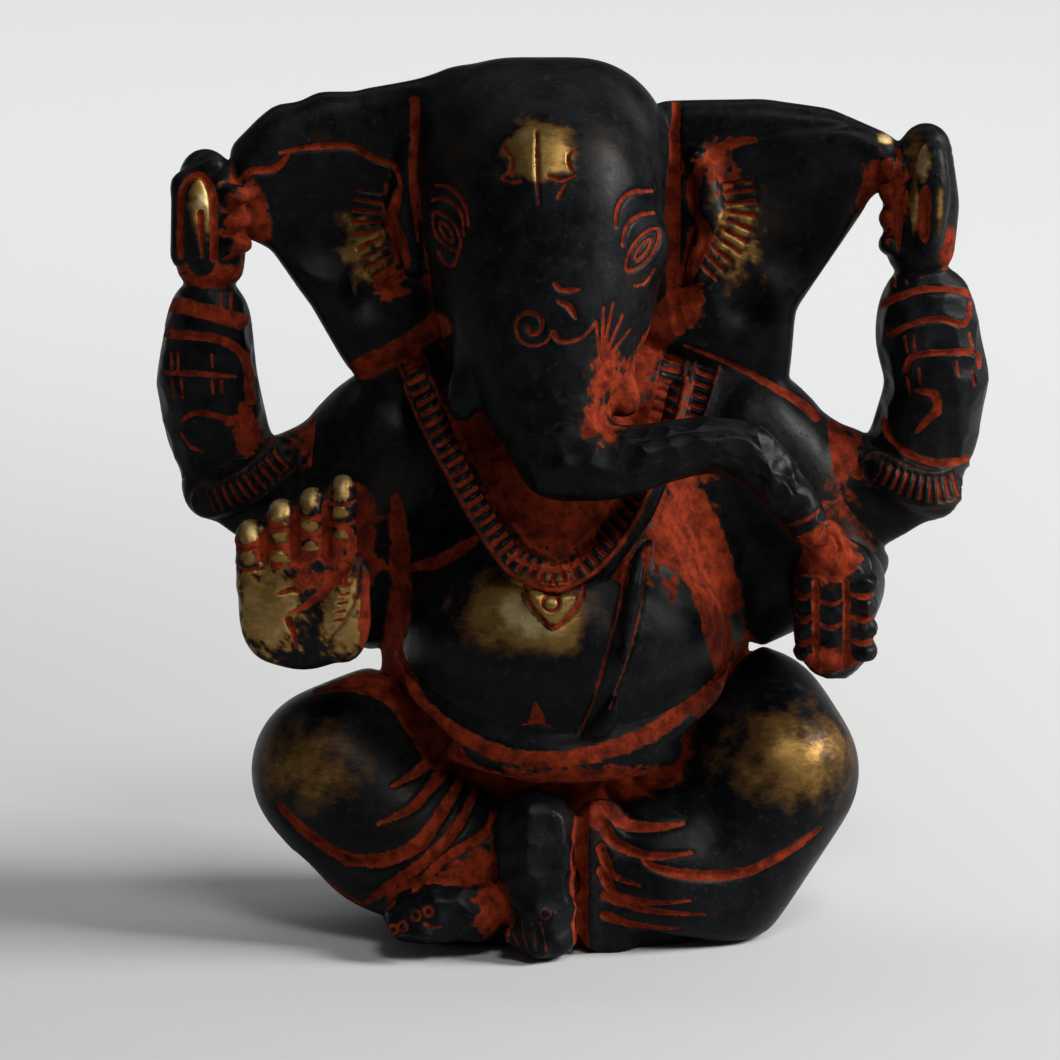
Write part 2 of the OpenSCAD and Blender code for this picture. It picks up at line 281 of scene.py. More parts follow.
def sculpt_cupped_hand(fields):
    """Four fingers from each side meet over the sweet."""
    hand = fields["left_cupped_hand"]
    for i in range(4):
        z = 3.2 - 2.5 * i
        hand.bump((-2.9, -2.7, z), (1.9, 2.2, 1.3), 0.3)
        hand.bump((2.8, -2.7, z), (1.8, 2.2, 1.3), 0.3)
    hand.bar((-0.9, -3.2, 3), (-0.8, -3, -5), 1.5, 1.6, 0.3)


def sculpt_lap(fields):
    """The waistband rests on the lap, and the pleat lies against the thigh."""
    fields["waistband"].bump((0, 0.6, -5.2), (13, 6.8, 3.4), 2)
    fields["pleat"].bar((1.8, 1.5, 6), (2.2, 1.5, -8), 2.1, 2.4, 1.5)


def sculpt_feet(fields):
    """Four toes at the end of each foot."""
    for i in range(4):
        toe = (-5.6 + 1.2 * i, -2.2 - 0.4 * i, -1.4 - 0.15 * i)
        fields["right_foot"].bump(toe, (0.9, 1, 0.9), 0.3)
        toe = (-2.8 + 1.2 * i, -3.2 - 0.3 * i, -6.2 - 0.5 * i)
        fields["left_foot"].bump(toe, (0.8, 1.2, 1.3), 0.3)


def sculpt_sections():
    fields = {}
    for node in NODES:
        field = cad_field(node)
        field.values = soften(field.values, ROUNDING[node])
        fields[node] = field
    sculpt_ears(fields)
    sculpt_head(fields)
    sculpt_raised_arms(fields)
    sculpt_raised_hands(fields)
    sculpt_open_hand(fields)
    sculpt_cupped_hand(fields)
    for node, amount in THINNING.items():
        fields[node].shrink(amount)
    sculpt_lap(fields)
    sculpt_feet(fields)
    return fields


# ---------- one skin over all sections ----------

class Skin(Field):
    """The blended surface, with which section each lattice point is nearest to."""

    def __init__(self, fields):
        self.fields = fields
        low = np.min([f.low for f in fields.values()], axis=0)
        high = np.max([f.low + f.values.shape for f in fields.values()], axis=0)
        shape = high - low
        super().__init__(low, None)
        self.nearest = np.full(shape, BAND, np.float32)
        self.second = np.full(shape, BAND, np.float32)
        self.owner = np.full(shape, -1, np.int8)
        for index, node in enumerate(NODES):
            self.lay(index, fields[node])
        self.values = self.nearest.copy()

    def lay(self, index, field):
        here = field.within(self)
        closer = field.values < self.nearest[here]
        rest = np.minimum(self.second[here], field.values)
        self.second[here] = np.where(closer, self.nearest[here], rest)
        self.owner[here][closer] = index
        self.nearest[here] = np.minimum(self.nearest[here], field.values)

    def zone(self, centre, reach):
        """An empty field over a box round one place, clipped to the lattice."""
        low = np.floor((centre - reach) / STEP).astype(int)
        high = np.ceil((centre + reach) / STEP).astype(int)
        low = np.maximum(low, self.low)
        high = np.minimum(high, self.low + self.values.shape)
        return Field(low, np.full(high - low, BAND, np.float32))

    def weld(self, nodes, centre, radii, blend):
        """Fills the corner between sections in one place with a fillet."""
        zone = self.zone(centre, np.array(radii))
        for node in nodes:
            field = self.fields[node]
            low = np.maximum(zone.low, field.low)
            high = np.minimum(zone.low + zone.values.shape, field.low + field.values.shape)
            if (high <= low).any():
                continue
            in_zone = tuple(slice(a, b) for a, b in zip(low - zone.low, high - zone.low))
            in_field = tuple(slice(a, b) for a, b in zip(low - field.low, high - field.low))
            zone.values[in_zone] = smooth_min(zone.values[in_zone], field.values[in_field], blend)
        here = zone.within(self)
        fade = np.clip(2 * (1 - ellipsoid_share(zone.axes(), centre, radii)), 0, 1)
        gain = np.minimum(zone.values - self.values[here], 0)
        self.values[here] += (fade * gain).astype(np.float32)

    def melt(self, centre, radii, sigma):
        """Blurs the skin more strongly round one place, so that seams there flow together."""
        zone = self.zone(centre, np.array(radii) + 3 * sigma)
        here = zone.within(self)
        zone.values = soften(self.values[here], sigma)
        fade = np.clip(1.6 * (1 - ellipsoid_share(zone.axes(), centre, radii)), 0, 1)
        self.values[here] += (fade * (zone.values - self.values[here])).astype(np.float32)

    def read(self, values, points):
        """Trilinear reading of a lattice array at points in mm."""
        where = points / STEP - self.low
        base = np.clip(np.floor(where).astype(int), 0, np.array(values.shape) - 2)
        part = np.clip(where - base, 0, 1)
        total = np.zeros(len(points))
        for cells, share in corners(base, part):
            i, j, k = cells.T
            total += share * values[i, j, k]
        return total

    def outward(self, points):
        """Unit normals at points in mm."""
        span = 0.45
        slopes = []
        for axis in range(3):
            shift = np.zeros(3)
            shift[axis] = span
            ahead = self.read(self.values, points + shift)
            slopes.append(ahead - self.read(self.values, points - shift))
        normals = np.stack(slopes, 1)
        return normals / np.maximum(np.linalg.norm(normals, axis=1, keepdims=True), 1e-6)

    def piece(self, index, field):
        """The part of the skin that belongs to one section, as points and faces in mm.

        It runs on a little way under its neighbours, so that no gap shows along the seam.
        """
        here = field.within(self)
        others = np.where(self.owner[here] == index, self.second[here], self.nearest[here])
        past = 0.5 * (field.values - others)
        sunk = np.clip((past + 0.1) / (LAP + 0.1), 0, 1) ** 2
        values = np.maximum(self.values[here] + 0.2 * sunk, past - LAP)
        for axis in range(3):
            for side in (0, -1):
                edge = [slice(None)] * 3
                edge[axis] = side
                values[tuple(edge)] = BAND
        grid = vdb.FloatGrid(BAND)
        values = np.ascontiguousarray(values, dtype=np.float32)
        grid.copyFromArray(values, ijk=tuple(int(v) for v in field.low))
        grid.transform = vdb.createLinearTransform(voxelSize=STEP)
        points, triangles, quads = grid.convertToPolygons(isovalue=0.0, adaptivity=0.0)
        halves = [quads[:, [2, 1, 0]], quads[:, [3, 2, 0]], triangles[:, ::-1].reshape(-1, 3)]
        return points.astype(float), np.vstack(halves).astype(np.int64)


def ellipsoid_share(axes, centre, radii):
    """0 at the centre of an ellipsoid and 1 on its surface."""
    return np.sqrt(sum(((axis - c) / r) ** 2 for axis, c, r in zip(axes, centre, radii)))


def blend_sections(skin):
    """Where the real metal flows on without a step."""
    skin.weld(("head", "trunk"), at("head", 0.6, -9, -7), (17, 16, 19), 6.5)
    skin.weld(("head", "right_ear"), at("head", -11.5, 2.6, 15.4), (9, 9, 7), 3.5)
    skin.weld(("torso", "belly"), at("belly", 0, 3, 5), (23, 14, 15), 5)
    lap = ("waistband", "belly", "right_leg", "left_leg", "torso")
    skin.weld(lap, at("torso", 0, -12, -15), (24, 14, 9), 1.6)
    skin.weld(("waistband", "belly", "torso"), at("waistband", 0, -3, -3), (20, 10, 9), 3.5)
    skin.weld(("pleat", "left_leg", "seat", "torso"), at("pleat", 2, 0, -1), (7, 7, 12), 2.5)
    for side, name in SIDES:
        shoulder = ("torso", name + "front_upper_arm", name + "raised_upper_arm")
        skin.weld(shoulder, at("torso", side * 22, 0, 14), (15, 14, 16), 4.5)
        elbow = (name + "raised_upper_arm", name + "raised_forearm", name + "armlet")
        skin.weld(elbow, at(name + "armlet", 0, 0, -2), (11, 10, 8), 2.5)
        skin.weld(("torso", name + "leg"), at(name + "leg", -side * 8, 0, 5), (14, 14, 10), 3)
    skin.values = soften(skin.values, 0.4)
    skin.melt(at("head", 0.2, -9, -5), (11, 11, 16), 1.6)
    for side, name in SIDES:
        skin.melt(at(name + "leg", side * 3, -6, -2), (17, 14, 14), 1.5)
        skin.melt(at("torso", side * 20, -1, 15), (9, 9, 10), 1.4)
        skin.melt(at(name + "raised_forearm", 0, 0, -9), (8, 8, 6), 1.1)


# ---------- chasing: lines, ribs, pigment and worn spots ----------

def scramble(cells, salt):
    """A large number for each lattice cell, with no pattern to be seen in it."""
    i, j, k = cells.T
    mixed = (i * 73856093) ^ (j * 19349663) ^ (k * 83492791) ^ salt
    mixed = (mixed ^ (mixed >> 13)) * 1274126177
    return mixed ^ (mixed >> 16)


def noise(points, size, seed):
    """Smooth random values from 0 to 1 that vary over about size mm."""
    where = points / size + seed * 17.3
    base = np.floor(where).astype(np.int64)
    part = where - base
    part = part * part * (3 - 2 * part)
    total = np.zeros(len(points))
    for cells, share in corners(base, part):
        value = (scramble(cells, seed * 2654435761) & 0xFFFF) / 65535
        total += share * value
    return total


def cloudy(points, size, seed):
    """Noise in two sizes, for ragged edges."""
    return 0.62 * noise(points, size, seed) + 0.38 * noise(points, size * 0.43, seed + 1)


def flats(points, size):
    """Shallow round dents packed side by side, 0 in a dent and about 1 on the edges between."""
    where = points / size
    base = np.floor(where).astype(np.int64)
    best = np.full(len(points), 9.0)
    for step in range(27):
        cell = base + np.array([step // 9 - 1, (step // 3) % 3 - 1, step % 3 - 1])
        mixed = scramble(cell, 97531)
        jitter = np.stack([mixed & 255, (mixed >> 8) & 255, (mixed >> 16) & 255], 1) / 255
        gap = ((where - cell - 0.1 - 0.8 * jitter) ** 2).sum(1)
        best = np.minimum(best, gap)
    return np.clip(best / 0.5, 0, 1.5)


def ramp(values, low, high):
    t = np.clip((values - low) / (high - low), 0, 1)
    return t * t * (3 - 2 * t)


def curve(points):
    """A smooth path through a few points, with six steps from each to the next."""
    steps = 6
    p = np.array([points[0], *points, points[-1]], float)
    path = []
    for i in range(1, len(p) - 2):
        for t in np.arange(steps) / steps:
            a = 2 * p[i]
            b = (p[i + 1] - p[i - 1]) * t
            c = (2 * p[i - 1] - 5 * p[i] + 4 * p[i + 1] - p[i + 2]) * t * t
            d = (3 * p[i] - p[i - 1] - 3 * p[i + 1] + p[i + 2]) * t ** 3
            path.append((a + b + c + d) / 2)
    return np.array(path + [p[-1]])


def along_path(spots, path):
    """For each spot, its gap to the path and how far along the path it lies, in mm."""
    gap = np.full(len(spots), 1e9)
    travel = np.zeros(len(spots))
    start = 0.0
    for a, b in zip(path, path[1:]):
        step = b - a
        length = float(np.hypot(*step))
        if length < 1e-6:
            continue
        t = np.clip((spots - a) @ step / length ** 2, 0, 1)
        here = np.linalg.norm(spots - a - t[:, None] * step, axis=1)
        closer = here < gap
        gap[closer] = here[closer]
        travel[closer] = start + t[closer] * length
        start += length
    return gap, travel, start


marks = {node: [] for node in NODES}


def each(nodes):
    return (nodes,) if isinstance(nodes, str) else nodes


def origin(nodes):
    """The middle of the first node's box, as (x, z)."""
    return MIDDLES[each(nodes)[0]][[0, 2]]


def add_mark(nodes, kind, path, reach, **look):
    for node in each(nodes):
        marks[node].append({"kind": kind, "path": path, "reach": reach, **look})


def chase(nodes, points, width=0.55, depth=0.3, red=1.0, taper="both"):
    """A punched line seen from the front; points are (x, z) from the first node's middle."""
    path = curve(points) + origin(nodes)
    reach = width * 1.2 + 0.4
    add_mark(nodes, "line", path, reach, width=width, depth=depth, red=red, taper=taper)


def stripe(nodes, points, width, depth):
    """A chased line of even width."""
    chase(nodes, points, width, depth, 1.0, "none")


def fold(nodes, points, width, depth):
    """A cloth fold, wide where it starts and fine where it ends."""
    chase(nodes, points, width, depth, 1.0, "end")


def ribs(nodes, points, half, pitch, depth, red, rim):
    """Short grooves across a band that follows a path, with a raised rim on both sides."""
    path = curve(points) + origin(nodes)
    add_mark(nodes, "ribs", path, half + 1, half=half, pitch=pitch, depth=depth, red=red, rim=rim)


def patch(kind, nodes, centre, radii, amount, ragged, grain):
    """A ragged oval, counted from the first node's middle.

    "tint" lays pigment, "rub" bares the brass, "glow" bares it with a soft edge and "wipe"
    takes pigment away.
    """
    path = np.array([origin(nodes) + centre])
    reach = max(radii) * 1.5
    add_mark(nodes, kind, path, reach, radii=radii, amount=amount, ragged=ragged, grain=grain)


def hammer(nodes, centre, radii, size, depth):
    """An oval area beaten into small flats."""
    path = np.array([origin(nodes) + centre])
    add_mark(nodes, "hammer", path, max(radii) * 1.3, radii=radii, size=size, depth=depth)


def almond(centre, half_long, half_wide, tilt):
    """A closed lens-shaped path; tilt in degrees."""
    turn = math.radians(tilt)
    path = []
    for step in range(13):
        a = 2 * math.pi * step / 12
        u = half_long * math.cos(a)
        v = half_wide * math.sin(a) * abs(math.sin(a)) ** 0.3
        x = centre[0] + u * math.cos(turn) - v * math.sin(turn)
        z = centre[1] + u * math.sin(turn) + v * math.cos(turn)
        path.append((x, z))
    return path


def ring(centre, radius):
    """A closed round path."""
    turns = [math.radians(30 * step) for step in range(13)]
    return [(centre[0] + radius * math.cos(a), centre[1] + radius * math.sin(a)) for a in turns]


def spiral(centre, inner, outer, turns, start):
    """A path that winds out from a centre; start in degrees."""
    steps = int(12 * turns)
    path = []
    for step in range(steps + 1):
        a = math.radians(start + 360 * turns * step / steps)
        r = inner + (outer - inner) * step / steps
        path.append((centre[0] + r * math.cos(a), centre[1] + r * math.sin(a)))
    return path


# ---------- the marks of each section ----------

def mark_head():
    """Forehead mark, eyes with their brows, and a scroll and a sprig on the trunk's root."""
    face = ("head", "trunk")
    patch("rub", face, (-0.6, 8.6), (4.4, 3.4), 0.72, 0.5, 1.6)
    chase(face, [(-0.8, 10.6), (-0.8, 7), (-0.6, 3.2)], 0.36, 0.35, 0.7)
    chase(face, [(-4.4, 8.9), (-3.4, 8), (-3.4, 6.8), (-4.4, 5.9)], 0.38)
    for stroke in (
        [(-4.5, 5.8), (-3.4, 5.4), (-2.4, 5.5)],
        [(3.5, 9), (2.6, 8.4), (2.5, 7.4), (2.9, 6.5)],
        [(0.4, 6.1), (1.8, 5.6), (3.3, 6.1)],
        [(2.2, 5.1), (1.4, 3.8)],
    ):
        chase(face, stroke, 0.34)
    for centre, tilt, long in (((-10.4, 0), -58, 2.4), ((10.5, -1.8), 52, 2.7)):
        chase(face, almond(centre, long, 1.15, tilt), 0.34, 0.34, taper="none")
        chase(face, almond(centre, long * 0.5, 0.45, tilt), 0.3, 0.28, taper="none")
    chase(face, [(-11.6, 4.8), (-9.9, 4.6), (-8.5, 3), (-8, 0.7)], 0.42, 0.36)
    chase(face, [(-12, 3.2), (-10.5, 3.5), (-8.9, 2.1), (-8.5, -0.3)], 0.42, 0.36)
    chase(face, [(-11.3, -2.2), (-10.6, -3.5), (-9.7, -3.6), (-9.1, -2.4)], 0.38)
    chase(face, [(7.5, 0.8), (7.8, 2.8), (9.2, 4.2), (11.6, 4.2)], 0.46, 0.36)
    chase(face, [(8.2, -1.2), (8.8, 0.8), (10.2, 1.8), (11.7, 1.9)], 0.46, 0.36)
    chase(face, [(9.6, -5.6), (10.9, -5.4), (11.8, -4)], 0.34)

    root = ("trunk", "head")
    scroll = spiral((-12.5, 6.2), 0.5, 2.3, 1.4, 200)
    chase(root, scroll, 0.48, 0.38, taper="end")
    chase(root, [scroll[-1], (-9.4, 4.6), (-7.2, 5), (-5.8, 6.6)], 0.52, 0.38, taper="end")
    chase(root, [(-9.8, 8.8), (-8.6, 8.2), (-7.9, 7)], 0.6, 0.38)
    chase(root, [(-10.2, 10.6), (-9.3, 9.9), (-7.6, 10)], 0.55, 0.36)
    for bend, top in ((-1.2, 5.6), (-0.4, 7.2), (0.6, 7.6), (1.6, 6.2), (2.4, 4.6)):
        stem = (-4.6, 0.8)
        middle = (stem[0] + bend * 0.4 - 0.3, stem[1] + top * 0.5)
        chase(root, [stem, middle, (stem[0] + bend, stem[1] + top)], 0.55, 0.34, taper="end")
    patch("tint", root, (-4.4, 0.6), (2.4, 2.8), 0.75, 1.1, 0.9)
    patch("tint", root, (-5.2, -3.8), (2.6, 2), 0.75, 1.1, 0.9)


def mark_trunk():
    """Long hammered flats down the trunk and wrinkles across its bend."""
    trunk = "trunk"
    hammer(trunk, (2, -8), (18, 6), 3.0, 0.42)
    hammer(trunk, (15, -13), (6, 7), 2.4, 0.42)
    hammer(trunk, (-8, -2), (8, 7), 3.2, 0.25)
    upper = [(-7, -7), (-1.2, -5.6), (5, -4.6), (9.6, -5), (13, -8.4), (16, -13)]
    lower = [(-8.6, -10.6), (-3, -9.6), (4, -7.6), (9, -7.6), (12, -10.8), (15, -15)]
    chase(trunk, upper, 1.0, 0.4, 0.1)
    chase(trunk, lower, 1.0, 0.4, 0.15)
    for i in range(5):
        x = -10 + 1.9 * i
        chase(trunk, [(x, -4.4 - 0.2 * i), (x + 0.5, -5.8), (x + 0.3, -7.2)], 0.35, 0.12, 0.3)
    for i in range(3):
        x, z = 16.2 + 0.9 * i, -14.2 - 1.3 * i
        chase(trunk, [(x - 1.8, z - 0.8), (x, z), (x + 1.6, z + 1)], 0.5, 0.3, 0.9)


def mark_ears():
    """The red root groove, the ribs that fan from it and the seam along the shoulder."""
    ear = "right_ear"
    chase(ear, [(-11.4, 6), (-10, 7), (-7.5, 7.3), (-6, 8.8)], 0.9, 0.4, 0.9)
    chase(ear, [(-7, 9), (-4, 9.5), (0.4, 9.7), (3, 8.4), (5.3, 7.5), (6.3, 5)], 0.8, 0.45, 0.95)
    chase(ear, [(6, 5.2), (5, 1.9), (6, -0.8), (6.8, -3.4)], 1.5, 0.7)
    ribs(ear, [(2.6, 4.8), (2.2, 1), (3.4, -2.4), (5, -5.2)], 1.9, 1.15, 0.4, 0.75, 0)
    patch("glow", ear, (1.6, -1.6), (3.4, 5.4), 0.62, 1.2, 1.0)
    patch("tint", ear, (4.8, -5.2), (2, 2.6), 0.8, 0.9, 0.8)
    patch("tint", (ear, "right_raised_hand"), (-10.4, 1.6), (2.4, 5), 1.0, 0.5, 1.0)
    seam = (ear, "head")
    fold(seam, [(7.7, 14.6), (7.6, 11.4), (7.4, 5.9), (8, -0.6)], 1.1, 0.3)
    neck = (ear, "torso", "necklace", "head")
    stripe(neck, [(0.6, -15.4), (4, -13.6), (7.4, -11.8), (10.4, -9.4)], 2.6, 0.35)
    ear = "left_ear"
    chase(ear, [(-9.9, 10), (-2.5, 11.6), (2.5, 12.6), (10, 13)], 1.2, 0.2, 0.0)
    chase(ear, [(-1.4, 11.4), (-4.4, 10.9), (-7.4, 8.8), (-8.4, 5.8), (-7.8, 3)], 1.3, 0.6)
    chase(ear, [(-7.8, 3), (-7, 0.6), (-8.2, -1.6), (-9.4, -4.2)], 1.8, 0.7)
    ribs(ear, [(-3.2, 7), (-3, 3.4), (-4.4, 0.2), (-7, -2.8)], 2.1, 1.2, 0.42, 0.8, 0)
    seam = (ear, "head", "torso", "necklace")
    stripe(seam, [(-10, 17), (-10.2, 12), (-10.3, 7)], 1.0, 0.35)
    stripe(seam, [(-10.3, 8), (-10.2, 1.6), (-10.4, -5), (-9.6, -9.3)], 1.4, 0.35)
    stripe(seam, [(-10.2, -7), (-12.4, -10.6), (-15.4, -14.6)], 3.6, 0.2)
    shoulder = seam + ("left_front_upper_arm", "left_raised_upper_arm")
    chase(shoulder, [(-9, -11), (-3.2, -13.4), (2.5, -16.4), (5.6, -18.8)], 1.0, 0.3, 1.0, "start")
    patch("tint", "left_tusk", (0, 0), (3, 4.4), 0.8, 1.0, 0.9)
    patch("tint", ear, (-5.4, 8.4), (2.8, 2.6), 0.62, 1.4, 0.9)
    patch("glow", ear, (-3.6, 1), (4, 6.2), 0.6, 1.2, 1.0)
    patch("tint", ear, (-8.6, -6.6), (2, 3), 0.9, 0.8, 0.8)
    patch("tint", (ear, "left_raised_hand"), (12.2, 5.6), (3, 5), 0.9, 0.8, 1.0)
    patch("rub", ear, (12.6, 11.6), (1, 0.7), 0.9, 0.2, 0.6)


def mark_raised_forearms():
    """Cuff bands with ticks, and a swirl over each elbow."""
    arm = "right_raised_forearm"
    hammer(arm, (0, 1), (8, 13), 3.4, 0.4)
    stripe(arm, [(-7, 10.2), (-1.6, 9.8), (3.4, 8.3)], 1.7, 0.3)
    stripe(arm, [(-7, 7), (-1.4, 6.8), (2, 6), (3.9, 3.8), (4.3, -0.4)], 1.0, 0.34)
    chase(arm, [(-5.4, 2.7), (-1.1, 2.7), (2.7, 2.3)], 0.6, 0.32)
    for x, z, drop in ((1.2, 11.4, 1.5), (2.3, 11.4, 1.9), (-4.6, 4.8, 1.5), (-3.8, 4.8, 1.7),
                       (0.2, 4.8, 1.3), (-4.4, 2, 2), (-3.2, 2, 2), (0.2, 2, 1.4), (1.2, 1.9, 1.3)):
        chase(arm, [(x, z), (x + 0.1, z - drop)], 0.36, 0.26, 0.9)
    chase(arm, [(-3.4, -2.6), (-1.6, -1.6), (1.6, -2.2), (3.2, -2.9)], 0.7, 0.34, 0.9)
    chase(arm, [(-3.5, -4), (-2.6, -5.3), (-1.2, -6)], 0.5, 0.3, 0.8)
    patch("tint", arm, (3.8, -4), (2, 3), 0.8, 0.8, 0.9)
    chase(arm, [(-5, -8.6), (-2.3, -9.3), (0.5, -9), (4, -7.6)], 0.8, 0.35)

    arm = "left_raised_forearm"
    hammer(arm, (0, 1), (8, 13), 3.4, 0.45)
    stripe(arm, [(-5.6, 9.4), (-4.1, 10.4), (-1.4, 11.3), (2.4, 11.3), (5, 10.3)], 0.75, 0.5)
    stripe(arm, [(-4.8, 6.2), (-2.6, 7.5), (0.6, 8.1), (3.6, 7.5), (4.4, 9.6)], 0.7, 0.5)
    stripe(arm, [(-3, 2.3), (-2.3, 3.9), (0.6, 4.4), (5, 4.3), (5.6, 2.8)], 0.7, 0.5)
    for x, z, drop in ((-4.4, 13.4, 1.9), (-3.2, 13.6, 1.7), (-3.2, 6.2, 1.8), (-2.2, 6.2, 1.9),
                       (-1.6, 2.6, 1.6), (-2.8, 1.6, 1.8), (4.4, 6.4, 1.4), (4.4, 2.4, 1.6),
                       (2.6, 3.4, 1.6)):
        chase(arm, [(x, z), (x + 0.3, z - drop)], 0.36, 0.26, 0.9)
    chase(arm, [(-2, 0.2), (0, -0.1), (0.6, -1.7), (-0.4, -2.9), (-1.8, -4.4)], 1.1, 0.4, 0.75)
    stripe(arm, [(-5.2, -3.4), (-4.4, -5.1), (-2.3, -6.8), (1, -7.8), (4.4, -7.6)], 0.8, 0.36)


def mark_arms():
    """Ribbed armlets and the pigment left in the elbows."""
    ribs(("right_armlet", "right_raised_forearm", "right_raised_upper_arm"),
         [(-1.4, -1.8), (1.6, -0.8), (4.2, 0.8), (6.6, 2.8)], 1.5, 1.0, 0.32, 0.8, 0.2)
    ribs(("left_armlet", "left_raised_forearm", "left_raised_upper_arm"),
         [(-4.6, 1.6), (-1.6, 0.2), (1.6, -0.4), (4.8, 0.2)], 1.5, 1.0, 0.32, 0.8, 0.2)
    patch("tint", "right_raised_upper_arm", (5, 5), (5, 4), 0.75, 1.0, 1.4)
    patch("tint", "left_raised_upper_arm", (-4.5, 3), (6.5, 6), 0.72, 1.2, 1.2)
    patch("tint", "left_front_upper_arm", (5, 2), (5, 6), 0.5, 1.2, 1.2)
    patch("tint", "right_front_upper_arm", (2.4, -1), (3, 8), 0.7, 0.9, 1.2)


def mark_raised_hands():
    """The bud and the blade stand in red grooves."""
    hand = ("right_raised_hand", "right_emblem")
    stripe(hand, [(-2.9, -4), (-2.8, 2), (-1.6, 4.6), (-0.2, 4.6), (0.9, 2), (0.8, -4.2)], 0.8, 0.5)
    chase("right_emblem", [(0.2, -4), (0.2, 0.8)], 0.9, 0.5, 1.0, "start")
    patch("glow", "right_emblem", (0.4, 1.8), (1.9, 4.6), 1.0, 0.4, 0.8)
    for z in (1.2, -1.4, -4):
        chase("right_raised_hand", [(1.6, z - 0.3), (3, z), (4.4, z + 0.5)], 0.5, 0.4, 0.9)
    patch("tint", "right_raised_hand", (0, -6), (4.5, 1.8), 1.0, 0.4, 0.9)
    patch("tint", ("right_raised_forearm",), (0, 13), (4, 1.2), 0.9, 0.4, 0.9)
    hand = ("left_raised_hand", "left_emblem")
    chase(hand, [(-2.6, 5.5), (-2.9, 1), (-2.7, -5.5)], 0.9, 0.5)
    slot = ("left_emblem", "left_raised_hand")
    chase(slot, [(-0.6, -4.4), (-0.9, -1.6), (-0.6, 1.4)], 1.5, 0.6)
    patch("rub", "left_emblem", (-1, 4), (0.8, 2.4), 0.9, 0.6, 0.8)
    patch("glow", "left_emblem", (-1.8, -1), (0.6, 4.2), 0.9, 0.6, 0.8)
    patch("glow", "left_emblem", (0.9, -0.6), (0.5, 3), 0.7, 0.6, 0.8)
    patch("glow", "left_raised_hand", (-1, 5), (1.6, 3), 0.5, 0.9, 0.8)
    for z in (2.2, -0.6, -3.4):
        chase("left_raised_hand", [(-4.8, z), (-3.8, z - 0.2), (-2.8, z + 0.3)], 0.5, 0.4, 0.9)
    patch("tint", "left_raised_hand", (2.6, -5.4), (1.6, 2.6), 0.7, 0.9, 0.8)
    for i in range(9):
        chase("left_raised_hand", [(0.8, 6.4 - 1.1 * i), (3.6, 6 - 1.1 * i)], 0.4, 0.1, 0.1)


def mark_open_hand():
    """Red between the fingers and across their roots, creases and a bare palm."""
    hand = "right_open_hand"
    patch("tint", hand, (-0.8, 3.4), (8.4, 3.4), 0.85, 0.9, 0.9)
    patch("tint", hand, (1.6, -0.6), (4.4, 1.2), 0.6, 0.9, 0.7)
    for i, (x, top) in enumerate(FINGER_TIPS):
        if i:
            stripe(hand, [(x - 1.65, top - 1), (x - 1.65, top - 4), (x - 1.6, 1.6)], 0.8, 0.35)
        for z in (top - 3.2, top - 5.4):
            chase(hand, [(x - 1.5, z), (x, z - 0.3), (x + 1.5, z)], 0.42, 0.25, 0.9, "none")
        patch("wipe", hand, (x, top - 0.6), (2, 2.2), 1.0, 0.3, 0.8)
        patch("rub", hand, (x, top - 1.3), (1.3, 1.7), 0.75, 1.1, 0.7)
        for z in (top - 4.3, top - 6.5):
            patch("wipe", hand, (x, z), (1.1, 0.75), 0.85, 0.9, 0.7)
            patch("rub", hand, (x, z), (1, 0.8), 0.62, 1.0, 0.6)
    patch("rub", hand, (-3.6, -3.6), (4, 5.6), 0.68, 1.1, 0.7)
    patch("rub", hand, (4.4, -4.4), (2.6, 4.6), 0.68, 1.1, 0.6)
    fold(hand, [(4.6, 0.6), (2.4, -1.6), (0.2, -3.4), (-1.4, -4)], 1.3, 0.4)
    chase(hand, [(-2.6, -2), (-1.2, -1.6), (0, -1.8)], 0.6, 0.3, 0.9)
    fold(hand, [(-1.4, -4.8), (-0.9, -6.4), (-0.8, -7.8)], 0.9, 0.35)
    chase(hand, [(6, 1.2), (5.8, -1.6), (4.6, -4.6), (2.4, -7.2)], 0.4, 0.25, 0.5)
    for i in range(6):
        chase(hand, [(3.4 + 0.2 * i, -4.8 + 0.9 * i), (4.4 + 0.2 * i, -4.6 + 0.9 * i)], 0.35, 0.2, 0.8)
    patch("tint", hand, (6.8, -5), (0.9, 6), 0.9, 0.4, 0.8)


def mark_cupped_hand():
    """Grooves between the folded fingers, and pigment all over the sweet."""
    hand = ("left_cupped_hand", "sweet")
    hammer(hand, (0, 0), (6, 9), 1.8, 0.35)
    for x in (-2.5, 0.8):
        stripe(hand, [(x, 3.4), (x + 0.1, -1), (x + 0.2, -6)], 0.75, 0.45)
    for i in range(4):
        z = 1.9 - 2.5 * i
        chase(hand, [(-4.8, z), (-3.8, z - 0.2), (-2.8, z + 0.3)], 0.55, 0.35, 0.9)
        chase(hand, [(1.2, z + 0.3), (2.6, z - 0.1), (4, z + 0.2)], 0.55, 0.35, 0.9)
        chase(hand, [(-2, z - 0.4), (-0.8, z - 0.9), (0.4, z - 0.4)], 0.5, 0.3, 0.9)
    patch("tint", hand, (-1, -5.4), (3.6, 1.6), 0.9, 0.7, 0.7)
    patch("tint", ("sweet", "left_cupped_hand", "trunk"), (0, -0.6), (4, 3.6), 0.95, 0.6, 0.8)
    for turn in (0, 1):
        bend = [(-2 + turn, 2 + turn), (0.4 + turn, 1.4 + turn), (1 + turn, -0.6)]
        chase(("sweet", "trunk"), bend, 0.6, 0.4)


